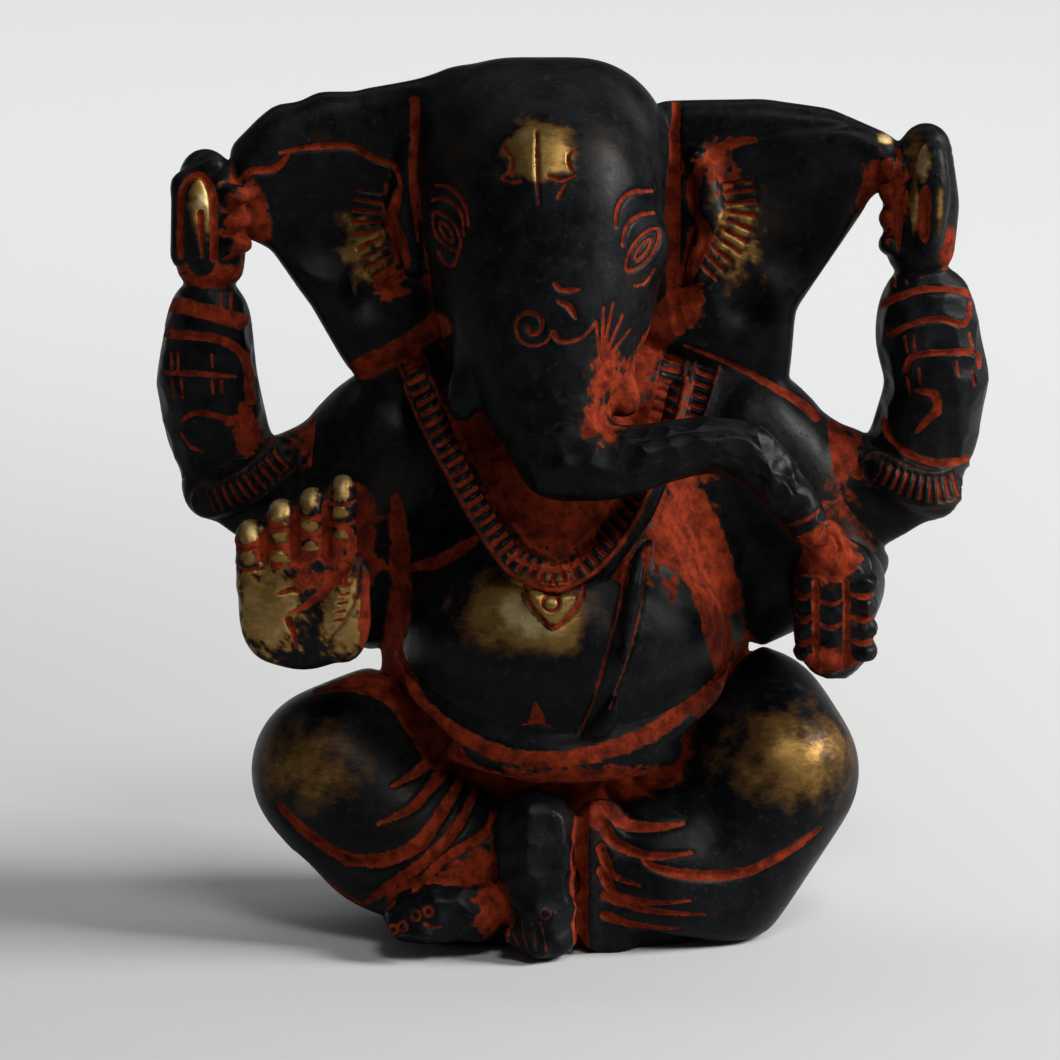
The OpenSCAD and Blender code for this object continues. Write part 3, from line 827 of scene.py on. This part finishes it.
def mark_legs():
    """Cloth folds that fan out from the lap, wide where they start and fine where they end."""
    leg = ("right_leg", "torso")
    fold(leg, [(5.6, 5.8), (3.1, 4.4), (0.6, 3.2)], 1.25, 0.6)
    fold(leg, [(6.8, 4.8), (4.7, 3), (2.6, 1), (-0.8, -0.6)], 1.3, 0.65)
    chase(leg, [(8.4, 3.8), (5.8, 0.4), (3.2, -2.8), (-0.7, -4.6), (-4.7, -4.7), (-8.7, -2.5), (-12, 0.6)],
          1.55, 0.75)
    chase(leg, [(10, 3), (8.1, -0.2), (4.8, -3.8), (0.9, -6.9), (-2.6, -10.4)], 1.2, 0.65)
    chase(leg, [(12.2, 2), (10.9, -1.4), (6.5, -4), (3, -7.4)], 1.05, 0.55)
    chase(leg, [(-10.6, -5.6), (-6.7, -9), (-2.6, -11)], 1.0, 0.45)
    patch("tint", leg, (10.5, -5.4), (4.4, 2.4), 0.95, 0.8, 0.9)
    hip = ("right_leg", "torso", "waistband", "belly")
    chase(hip, [(-9, 12.2), (-3.7, 13), (0.9, 11.6), (3.6, 8.4), (5.6, 6)], 3, 0.1, 1.0, "start")
    stripe(hip, [(4.6, 10.6), (7, 7.4), (10.6, 4.4), (16.6, 2.4)], 1.9, 0.3)
    patch("glow", "right_leg", (-9.4, 5.2), (9.4, 6.4), 0.5, 0.6, 2.0)
    leg = ("left_leg", "torso", "pleat")
    fold(leg, [(-10.4, 3.4), (-9.4, 1.6), (-7.5, 0.7)], 1.25, 0.6)
    fold(leg, [(-13, 1.4), (-11.6, -0.9), (-9.1, -1.6), (-4.6, -1.3)], 1.5, 0.7)
    fold(leg, [(-13.4, -1), (-12, -3.3), (-8.6, -4.4), (-3.8, -4.1)], 1.3, 0.65)
    chase(leg, [(-9.6, -4.3), (-7.3, -5.8), (0.3, -6.8), (5.3, -5.4), (10.4, -2.5)], 1.2, 0.5)
    fold(leg, [(-13.6, -3.8), (-12.4, -6.6), (-9.4, -7.7)], 1.05, 0.55)
    for stroke in (
        [(-13.6, -6.2), (-12, -8.8), (-8.6, -9.5), (-4, -9.2)],
        [(-13.2, -9), (-9.6, -10.3), (-2.4, -11)],
        [(-13.2, -11.2), (-9.5, -12.5), (-5, -12.7)],
    ):
        fold(leg, stroke, 1.0, 0.45)
    patch("glow", "left_leg", (7.4, 5.6), (11.4, 6.8), 0.56, 0.6, 2.0)
    edge = ("pleat", "left_foot", "left_leg", "seat")
    stripe(edge, [(-0.6, 9), (-0.9, 1), (-0.8, -8.6)], 1.4, 0.4)
    patch("tint", ("pleat", "left_leg"), (0.2, 7.6), (3.2, 2.6), 0.9, 0.9, 0.8)


def mark_feet():
    """Small rings for toes, and red in the hollows beside the feet."""
    foot = ("right_foot", "right_leg")
    for x, z in ((-4.6, -1), (-3.2, 0.2), (-1.8, 0.7), (-5.6, -1.4)):
        chase(foot, ring((x, z), 0.5), 0.28, 0.2, 0.8, "none")
    chase(foot, [(-2.2, -0.6), (-0.4, -1.2)], 0.35, 0.2, 0.8)
    chase(foot, [(-6.4, 0.4), (-5.2, 2.2), (-2, 3.5), (2.4, 3.2)], 0.8, 0.35)
    patch("tint", foot, (5.6, 0.8), (2.6, 4.6), 1.0, 0.8, 0.9)
    foot = "left_foot"
    hammer(foot, (0, -1), (5.4, 9.4), 3.1, 0.62)
    hammer("right_foot", (0, 0), (7, 5), 2.5, 0.45)
    for i in range(4):
        chase(foot, [(-2.9 + 1.1 * i, -4.4), (-2.5 + 1.1 * i, -6), (-2.2 + 1.1 * i, -7.4)], 0.36, 0.3, 0.5)
    chase(foot, ring((1, -3.4), 0.6), 0.3, 0.2, 0.5, "none")
    patch("tint", foot, (-3.8, -4), (1.2, 4), 0.8, 0.7, 0.8)


def mark_chest():
    """Ribbed necklace, chains over the pendant, shoulder sash, navel and belly rim."""
    band = ("necklace", "torso", "belly")
    ribs(band, [(-15.9, 13.4), (-13.4, 8.2), (-10.1, 2.4), (-6.9, -3), (-3.4, -7.8), (0.3, -9.6)],
         1.25, 1.15, 0.4, 0.95, 0.25)
    ribs(band, [(0.3, -9.6), (3.6, -8), (7, -4.4), (9.6, 0.4), (12.4, 7), (13.8, 12.4)],
         1.25, 1.15, 0.4, 0.95, 0.25)
    strand = ("necklace", "torso", "left_front_upper_arm", "left_raised_upper_arm")
    ribs(strand, [(15.2, 5), (16.6, 9), (18, 13)], 1.1, 1.15, 0.35, 0.95, 0.2)
    chase(band, [(-4.4, -7.2), (-1, -8.6), (2.2, -8.4), (4.6, -6.6)], 0.7, 0.4, 0.6)
    chase(band, [(-2.6, -9.9), (0.4, -10.7), (3.2, -9.9)], 0.5, 0.3, 0.9)
    leaf = ("pendant", "belly", "necklace")
    stripe(leaf, ring((-0.2, 0.9), 0.85), 0.42, 0.3)
    chase(leaf, [(-3, 2.4), (-2.4, 0.6), (-1.2, -0.8), (0.1, -2)], 0.5, 0.35)
    chase(leaf, [(3.3, 2.4), (2.8, 0.6), (1.6, -0.9), (0, -2)], 0.5, 0.35)
    chase(leaf, [(-3.6, 3), (0, 2.9), (3.6, 3.1)], 0.4, 0.25, 0.6)
    patch("rub", leaf, (-0.2, 0.8), (3.4, 2.8), 0.62, 0.6, 1.2)
    patch("glow", ("belly", "necklace"), (-4, 3.3), (9, 5.4), 1.0, 0.4, 2.2)
    patch("glow", "belly", (-3.6, 3), (5, 3), 1.2, 0.3, 2.2)
    sash = ("sash", "belly")
    chase(sash, [(-1.1, 5), (-1.6, -0.6), (-3.3, -6.9), (-4.8, -12.6), (-7, -17.2)], 0.45, 0.3, 0.55)
    chase(sash, [(1.1, 6.4), (0.8, -0.5), (-0.7, -6.6), (-2.8, -12.2)], 0.4, 0.28, 0.5)
    chase(sash, [(-1.1, 3.6), (-1.4, 0.6)], 0.8, 0.35)
    navel = "belly"
    chase(navel, [(-5.6, -9.9), (-3.1, -9.4), (-0.6, -9.9)], 1.5)
    chase(navel, [(-3.2, -6.4), (-3, -9.4)], 1.9, 0.35, 1.0, "start")
    chase("torso", ring((-13.7, 11.1), 0.85), 0.35, 0.25, 0.9, "none")
    patch("tint", "torso", (-1, 19), (13, 13), 1.0, 0.4, 1.0)
    patch("wipe", "torso", (-13, 12.4), (4.2, 3.8), 1.0, 0.5, 1.0)
    side = ("torso", "belly", "right_front_upper_arm", "necklace")
    chase(side, [(-17.4, 2.6), (-13, 5), (-9.3, 7.6)], 1.2, 0.35)
    chase(side, [(-18.6, 11), (-18.2, 4), (-17.8, -4)], 2.2, 0.1, 0.95, "both")
    flank = ("belly", "torso", "sash", "left_front_upper_arm")
    stripe(flank, [(9.6, 14.6), (13, 9), (15.8, 3), (17.8, -4.6)], 3.0, 0)
    chase(flank, [(12, 17), (15.8, 10), (18.4, 2)], 3.2, 0, 0.8, "none")
    patch("tint", flank, (12.6, 10.6), (4.4, 6.4), 0.8, 1.4, 1.4)
    patch("tint", "torso", (1, -18.6), (13, 3.6), 0.9, 1.0, 0.9)
    patch("tint", ("belly", "torso"), (-1, 12.8), (7.4, 5), 1.0, 0.7, 1.0)
    patch("tint", "torso", (-16, -6), (7, 8), 0.9, 0.6, 0.9)
    patch("tint", ("waistband", "torso"), (1, -7.4), (12, 2), 0.9, 0.9, 0.9)
    rim = ("waistband", "torso", "right_leg")
    chase(rim, [(-18.9, 6), (-15.6, 0), (-8.4, -4), (-1.5, -4.9), (4.6, -3.9), (10.6, -1.7), (16, 2.9)],
          1.8, 0.1, 0.95, "none")
    patch("tint", "waistband", (16, 1), (4, 5), 0.6, 1.0, 1.0)


def mark_all():
    for draw in (
        mark_head, mark_trunk, mark_ears, mark_raised_forearms, mark_arms, mark_raised_hands,
        mark_open_hand, mark_cupped_hand, mark_legs, mark_feet, mark_chest,
    ):
        draw()


def taper_share(travel, length, taper):
    """How much of a line's width is left along it."""
    t = travel / max(length, 1e-6)
    if taper == "none":
        return np.ones_like(t)
    if taper == "end":
        return 1 - 0.75 * t ** 1.5
    if taper == "start":
        return 1 - 0.75 * (1 - t) ** 1.5
    return 0.35 + 0.65 * np.clip(4.5 * t * (1 - t), 0, 1) ** 0.6


def in_reach(mark, flat):
    """Which of the flat places lie in a mark's box."""
    low = mark["path"].min(0) - mark["reach"]
    high = mark["path"].max(0) + mark["reach"]
    return np.all((flat > low) & (flat < high), axis=1)


def mark_limit(node, points):
    """The longest mesh edge wanted at each point: short where something fine is drawn."""
    limit = np.full(len(points), 9.0)
    flat = points[:, [0, 2]]
    for mark in marks[node]:
        if mark["kind"] not in ("line", "ribs") or mark["depth"] < FAINT:
            continue
        near = np.flatnonzero(in_reach(mark, flat))
        if not len(near):
            continue
        gap, travel, length = along_path(flat[near], mark["path"])
        band = 0.5 * mark["width"] + 0.35 if mark["kind"] == "line" else mark["half"] + 0.5
        wide = mark["kind"] == "line" and mark["width"] > WIDE_LINE
        wanted = 1.5 * FINE if wide else FINE
        close = near[gap < band]
        limit[close] = np.minimum(limit[close], wanted)
    return limit


def apply_marks(node, points, normals):
    """The height change, pigment and wear that the marks give each vertex."""
    sunk = np.zeros(len(points))
    raised = np.zeros(len(points))
    pigment = np.zeros(len(points))
    wear = np.zeros(len(points))
    wiped = np.zeros(len(points))
    uneven = cloudy(points, 0.9, 3) - 0.5
    front = ramp(-normals[:, 1], -0.15, 0.2)
    flat = points[:, [0, 2]]
    for mark in marks[node]:
        near = in_reach(mark, flat) & (front > 0)
        if not near.any():
            continue
        spots, weight = flat[near], front[near]
        if mark["kind"] == "line":
            gap, travel, length = along_path(spots, mark["path"])
            wide = mark["width"] * taper_share(travel, length, mark["taper"])
            share = gap / np.maximum(0.5 * wide, 0.16)
            depth = mark["depth"] * np.clip(wide / mark["width"], 0.4, 1)
            groove = depth * np.exp(-0.9 * share ** 2) * weight
            sunk[near] = np.maximum(sunk[near], groove)
            red = mark["red"] * (1 - ramp(share + 0.5 * uneven[near], 0.7, 1.3)) * weight
            pigment[near] = np.maximum(pigment[near], red)
        elif mark["kind"] == "ribs":
            gap, travel, length = along_path(spots, mark["path"])
            inside = (1 - ramp(gap, mark["half"] * 0.75, mark["half"])) * weight
            inside = inside * ((travel > 0) & (travel < length))
            wave = 0.5 + 0.5 * np.cos(2 * math.pi * travel / mark["pitch"])
            groove = mark["depth"] * wave ** 2 * inside
            edge = np.exp(-((gap - mark["half"] - 0.25) / 0.3) ** 2) * weight
            sunk[near] = np.maximum(sunk[near], groove)
            raised[near] = np.maximum(raised[near], mark["rim"] * edge)
            lip = edge * min(1, 4 * mark["rim"])
            red = ramp(wave + 0.3 * uneven[near], 0.45, 0.8) * inside
            red = mark["red"] * np.maximum(red, 0.6 * lip)
            pigment[near] = np.maximum(pigment[near], red)
        elif mark["kind"] == "hammer":
            share = np.linalg.norm((spots - mark["path"][0]) / mark["radii"], axis=1)
            fade = (1 - ramp(share, 0.7, 1.2)) * weight
            sunk[near] += mark["depth"] * (1 - flats(points[near], mark["size"])) * fade
        else:
            share = np.linalg.norm((spots - mark["path"][0]) / mark["radii"], axis=1)
            ragged = 1.3 * mark["ragged"] * (cloudy(points[near], mark["grain"], 5) - 0.5)
            start = 0.0 if mark["kind"] == "glow" else 0.6
            fade = mark["amount"] * (1 - ramp(share + ragged, start, 1.15)) * weight
            target = {"tint": pigment, "rub": wear, "glow": wear, "wipe": wiped}[mark["kind"]]
            target[near] = np.maximum(target[near], fade)
    pigment = pigment * (1 - wiped)
    return raised - sunk, pigment, wear


# ---------- pieces ----------

def drop_crumbs(points, faces):
    """Leaves out the small loose parts of a mesh."""
    label = np.arange(len(points))
    edges = np.concatenate([faces[:, [i, (i + 1) % 3]] for i in range(3)])
    for _ in range(400):
        low = np.minimum(label[edges[:, 0]], label[edges[:, 1]])
        before = label.copy()
        np.minimum.at(label, edges[:, 0], low)
        np.minimum.at(label, edges[:, 1], low)
        label = label[label]
        if (label == before).all():
            break
    _, part, counts = np.unique(label, return_inverse=True, return_counts=True)
    keep = counts[part] > CRUMB * len(points)
    faces = faces[keep[faces[:, 0]]]
    index = np.cumsum(keep) - 1
    return points[keep], index[faces]


def refine(node, skin, points, faces):
    """Splits edges near chased lines until they are short enough to draw them.

    A cut face is made from six points, its corners 0 to 2 and the middles 3 to 5 of its edges.
    """
    for _ in range(2):
        ends = np.sort(np.concatenate([faces[:, [i, (i + 1) % 3]] for i in range(3)]), axis=1)
        edges, which = np.unique(ends, axis=0, return_inverse=True)
        which = which.reshape(3, -1)
        a, b = points[edges[:, 0]], points[edges[:, 1]]
        middle = (a + b) / 2
        facing = skin.outward(points)[:, 1] < 0.1
        split = np.linalg.norm(a - b, axis=1) > 1.35 * mark_limit(node, middle)
        split = split & facing[edges].any(1)
        if not split.any():
            break
        fresh = middle[split]
        level = skin.read(skin.values, fresh)
        pull = np.where(np.abs(level) < 0.25, level, 0)
        fresh = fresh - skin.outward(fresh) * pull[:, None]
        number = np.full(len(edges), -1)
        number[split] = len(points) + np.arange(len(fresh))
        points = np.vstack([points, fresh])
        mids = number[which].T
        cuts = (mids >= 0).sum(1)
        made = [faces[cuts == 0]]
        for turn in range(3):
            six = np.hstack([np.roll(faces, -turn, axis=1), np.roll(mids, -turn, axis=1)])
            one = six[(cuts == 1) & (six[:, 3] >= 0)]
            made += [one[:, part] for part in ([0, 3, 2], [3, 1, 2])]
            two = six[(cuts == 2) & (six[:, 5] < 0)]
            made += [two[:, part] for part in ([3, 1, 4], [0, 3, 4], [0, 4, 2])]
        three = np.hstack([faces, mids])[cuts == 3]
        made += [three[:, part] for part in ([0, 3, 5], [3, 1, 4], [5, 4, 2], [3, 4, 5])]
        faces = np.vstack(made)
    return points, faces


def make_mesh(name, points, faces, attributes):
    """A smooth-shaded triangle mesh with one number per vertex under each name."""
    mesh = bpy.data.meshes.new(name)
    mesh.vertices.add(len(points))
    mesh.vertices.foreach_set("co", (points * MM).astype(np.float32).ravel())
    mesh.loops.add(faces.size)
    mesh.loops.foreach_set("vertex_index", faces.astype(np.int32).ravel())
    mesh.polygons.add(len(faces))
    mesh.polygons.foreach_set("loop_start", np.arange(0, faces.size, 3, dtype=np.int32))
    for key, values in attributes.items():
        layer = mesh.attributes.new(key, "FLOAT", "POINT")
        layer.data.foreach_set("value", values.astype(np.float32))
    mesh.update(calc_edges=True)
    mesh.validate()
    mesh.shade_smooth()
    return mesh


def hollow_maps(skin):
    """Blurred copies of the skin that tell fine creases and broad hollows from open metal."""
    return {"fine": soften(skin.values, FINE_BLUR), "broad": soften(skin.values, BROAD_BLUR)}


def make_piece(index, node, field, skin, hollows, material):
    """One section's chased mesh, standing in for its CAD node."""
    points, faces = skin.piece(index, field)
    points, faces = drop_crumbs(points, faces)
    points, faces = refine(node, skin, points, faces)
    normals = skin.outward(points)
    on_skin = 1 - ramp(-skin.read(skin.values, points), 0.1, 0.8)
    height, pigment, wear = apply_marks(node, points, normals)
    crease = -skin.read(hollows["fine"], points) / FINE_BLUR ** 2
    hollow = -skin.read(hollows["broad"], points) / BROAD_BLUR ** 2
    uneven = cloudy(points, 1.6, 7) - 0.5
    caught = ramp(crease + 0.3 * uneven, 0.2, 0.42)
    caught = np.maximum(caught, 0.9 * ramp(hollow + 0.06 * uneven, 0.06, 0.15))
    front = ramp(-normals[:, 1], -0.9, -0.2)
    pigment = np.maximum(pigment, caught * (0.55 + 0.45 * front))
    rubbed = ramp(-crease + 0.2 * uneven, 0.5, 0.9) * 0.35
    wear = np.maximum(wear, rubbed)
    points = points + normals * (height * on_skin)[:, None]
    points[:, 2] = np.maximum(points[:, 2], 0)
    mesh = make_mesh(node + "_casting", points, faces, {"pigment": pigment, "wear": wear})
    mesh.materials.append(material)
    piece = bpy.data.objects.new(node + "_casting", mesh)
    bpy.context.scene.collection.objects.link(piece)
    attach(piece, "root")
    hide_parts(node)


# ---------- materials ----------

class Graph:
    """A material's nodes, with short ways to add and join them."""

    def __init__(self, name):
        self.material = bpy.data.materials.new(name)
        self.material.use_nodes = True
        self.tree = self.material.node_tree
        self.shader = self.tree.nodes["Principled BSDF"]
        self.position = self.node("ShaderNodeTexCoord").outputs["Object"]

    def node(self, kind, **settings):
        made = self.tree.nodes.new(kind)
        for key, value in settings.items():
            setattr(made, key, value)
        return made

    def link(self, source, target):
        if isinstance(source, (int, float, tuple)):
            target.default_value = source
        else:
            self.tree.links.new(source, target)

    def math(self, operation, a, b):
        made = self.node("ShaderNodeMath", operation=operation)
        self.link(a, made.inputs[0])
        self.link(b, made.inputs[1])
        return made.outputs[0]

    def sway(self, value, fac, amount):
        """The value, moved up and down by a noise."""
        centred = self.math("SUBTRACT", fac, 0.5)
        return self.math("ADD", value, self.math("MULTIPLY", centred, amount))

    def fade(self, value, low, high):
        made = self.node("ShaderNodeMapRange", interpolation_type="SMOOTHSTEP")
        self.link(value, made.inputs["Value"])
        made.inputs["From Min"].default_value = low
        made.inputs["From Max"].default_value = high
        return made.outputs["Result"]

    def noise(self, size_mm, detail, roughness=0.55, stretch=(1, 1, 1)):
        mapping = self.node("ShaderNodeMapping")
        mapping.inputs["Scale"].default_value = stretch
        self.link(self.position, mapping.inputs["Vector"])
        made = self.node("ShaderNodeTexNoise")
        self.link(mapping.outputs["Vector"], made.inputs["Vector"])
        made.inputs["Scale"].default_value = 1 / (size_mm * MM)
        made.inputs["Detail"].default_value = detail
        made.inputs["Roughness"].default_value = roughness
        return made.outputs["Fac"]

    def mix(self, share, a, b, kind="RGBA"):
        made = self.node("ShaderNodeMix", data_type=kind)
        self.link(share, made.inputs["Factor"])
        self.link(a, made.inputs["A"])
        self.link(b, made.inputs["B"])
        return made.outputs["Result"]

    def attribute(self, name):
        return self.node("ShaderNodeAttribute", attribute_name=name).outputs["Fac"]


def casting_material(name, more_pigment, more_wear=0.0):
    """Blackened brass that shows bare metal where it is rubbed and pigment where it is hollow."""
    g = Graph(name)
    mottle = g.noise(3.2, 5)
    cloud = g.noise(9.0, 3)
    grain = g.noise(0.35, 3)
    scratches = g.noise(0.6, 5, 0.7, stretch=(0.6, 1, 1.3))
    pits = g.noise(0.5, 2, 0.5)

    worn = g.math("ADD", g.attribute("wear"), more_wear)
    worn = g.sway(g.sway(worn, scratches, 0.5), mottle, 0.55)

    dust = g.math("ADD", g.attribute("pigment"), more_pigment)
    dust = g.sway(dust, g.noise(1.1, 7, 0.72), 1.3)
    pigment = g.fade(dust, 0.34, 0.58)

    black = g.mix(g.fade(mottle, 0.35, 0.7), (0.0012, 0.0016, 0.0023, 1), (0.0045, 0.005, 0.006, 1))
    black = g.mix(g.fade(g.noise(0.9, 6, 0.75), 0.52, 0.72), black, (0.012, 0.0115, 0.011, 1))
    black = g.mix(g.fade(cloud, 0.55, 0.8), black, (0.011, 0.0075, 0.0042, 1))
    black = g.mix(g.fade(dust, 0.1, 0.42), black, (0.028, 0.0085, 0.004, 1))
    metal = g.mix(g.fade(worn, 0.08, 0.42), black, (0.05, 0.023, 0.006, 1))
    metal = g.mix(g.fade(worn, 0.3, 0.7), metal, (0.19, 0.11, 0.03, 1))
    metal = g.mix(g.fade(worn, 0.62, 1.15), metal, (0.44, 0.345, 0.17, 1))
    metal = g.mix(g.fade(pits, 0.7, 0.77), metal, (0.012, 0.008, 0.005, 1))
    red = g.fade(g.noise(1.6, 5, 0.6), 0.3, 0.7)
    red = g.mix(red, (0.055, 0.006, 0.0025, 1), (0.21, 0.024, 0.006, 1))
    red = g.mix(g.fade(g.noise(0.6, 5, 0.75), 0.56, 0.68), red, (0.05, 0.009, 0.004, 1))
    red = g.mix(g.fade(g.noise(2.4, 6, 0.75), 0.6, 0.68), red, (0.018, 0.007, 0.005, 1))
    g.link(g.mix(pigment, metal, red), g.shader.inputs["Base Color"])

    bare = g.math("MULTIPLY", g.fade(worn, 0.25, 0.7), g.math("SUBTRACT", 1.0, pigment))
    g.link(g.math("MULTIPLY", bare, 0.85), g.shader.inputs["Metallic"])
    satin = g.mix(g.fade(mottle, 0.3, 0.7), 0.34, 0.48, "FLOAT")
    satin = g.mix(g.fade(worn, 0.5, 1.0), satin, 0.52, "FLOAT")
    satin = g.sway(satin, grain, 0.16)
    g.link(g.mix(pigment, satin, 0.9, "FLOAT"), g.shader.inputs["Roughness"])
    g.shader.inputs["Specular IOR Level"].default_value = 0.07

    bump = g.node("ShaderNodeBump")
    bump.inputs["Distance"].default_value = 0.09 * MM
    bump.inputs["Strength"].default_value = 0.7
    smooth = g.math("MULTIPLY", g.noise(3.0, 2, 0.4), 1.5)
    smooth = g.math("ADD", smooth, g.math("MULTIPLY", scratches, 0.4))
    smooth = g.math("ADD", smooth, g.math("MULTIPLY", g.fade(pits, 0.68, 0.8), -0.6))
    powder = g.math("MULTIPLY", g.noise(0.4, 4, 0.7), 1.6)
    g.link(g.mix(pigment, smooth, powder, "FLOAT"), bump.inputs["Height"])
    g.link(bump.outputs["Normal"], g.shader.inputs["Normal"])
    return g.material


# ---------- stage ----------

def floor_material():
    g = Graph("pale_paper")
    tone = g.fade(g.noise(0.5, 3), 0.3, 0.7)
    paper = g.mix(tone, (0.495, 0.495, 0.495, 1), (0.51, 0.51, 0.51, 1))
    g.link(paper, g.shader.inputs["Base Color"])
    g.shader.inputs["Roughness"].default_value = 0.8
    return g.material


def make_stage():
    """A pale round floor, flat under the idol and curving up gently all round, in metres."""
    turns = 64
    rows = 24
    edge = 2.4
    flat = 0.3
    bend = 0.24
    points = [(0, 0, 0)]
    for row in range(1, rows + 1):
        radius = edge * row / rows
        rise = bend * max(radius - flat, 0) ** 2
        for turn in range(turns):
            a = 2 * math.pi * turn / turns
            points.append((radius * math.cos(a), radius * math.sin(a), rise))
    faces = [(0, 1 + turn, 1 + (turn + 1) % turns) for turn in range(turns)]
    for row in range(rows - 1):
        start = 1 + row * turns
        for turn in range(turns):
            after = (turn + 1) % turns
            faces.append((start + turn, start + turns + turn, start + turns + after, start + after))
    mesh = bpy.data.meshes.new("sweep")
    mesh.from_pydata(points, [], faces)
    mesh.shade_smooth()
    mesh.materials.append(floor_material())
    sweep = bpy.data.objects.new("sweep", mesh)
    bpy.context.scene.collection.objects.link(sweep)


def make_light(name, place, aim, size, power, colour):
    """A soft rectangular lamp at a place in metres, turned to its aim."""
    lamp = bpy.data.lights.new(name, "AREA")
    lamp.shape = "RECTANGLE"
    lamp.size, lamp.size_y = size
    lamp.energy = power
    lamp.color = colour
    holder = bpy.data.objects.new(name, lamp)
    holder.location = place
    holder.rotation_euler = (Vector(aim) - Vector(place)).to_track_quat("-Z", "Y").to_euler()
    bpy.context.scene.collection.objects.link(holder)


def make_lights():
    """A window in front on the right, a weak skylight, and a lamp for the sweep."""
    make_light("window", (0.58, -0.12, 0.4), (0, 0, 0.05), (0.27, 0.27), 8, (1, 0.99, 0.97))
    make_light("skylight", (0.2, -0.62, 0.8), (0, 0, 0.05), (0.26, 0.26), 3.2, (1, 1, 1))
    make_light("sweep_wash", (0, 0.35, 1.0), (0, 1.6, 0.42), (1.8, 0.6), 26, (0.98, 0.99, 1))
    world = bpy.data.worlds.new("studio")
    bpy.context.scene.world = world
    world.use_nodes = True
    backdrop = world.node_tree.nodes["Background"]
    backdrop.inputs["Color"].default_value = (0.9, 0.93, 0.96, 1)
    backdrop.inputs["Strength"].default_value = 0.05
    bpy.context.scene.view_settings.view_transform = "Standard"


def make_camera():
    """Slightly above the idol, square to its front, framed a little wider than it."""
    data = bpy.data.cameras.new("camera")
    camera = bpy.data.objects.new("camera", data)
    bpy.context.scene.collection.objects.link(camera)
    bpy.context.scene.camera = camera
    tilt = math.radians(8)
    distance = 0.38
    framed = 0.1178
    aim = Vector((-0.0033, 0, 0.0442))
    camera.location = aim + Vector((0, -math.cos(tilt), math.sin(tilt))) * distance
    camera.rotation_euler = (math.pi / 2 - tilt, 0, 0)
    data.sensor_width = 36
    data.lens = data.sensor_width * distance / framed


# ---------- the model ----------

make_camera()
fields = sculpt_sections()
skin = Skin(fields)
blend_sections(skin)
hollows = hollow_maps(skin)
mark_all()
materials = {
    "dark_patina": casting_material("dark_patina", -0.08),
    "rubbed_brass": casting_material("rubbed_brass", -0.05, 0.05),
    "red_pigment": casting_material("red_pigment", 0.05),
}
for index, node in enumerate(NODES):
    make_piece(index, node, fields[node], skin, hollows, materials[SLOTS[node]])
make_stage()
make_lights()
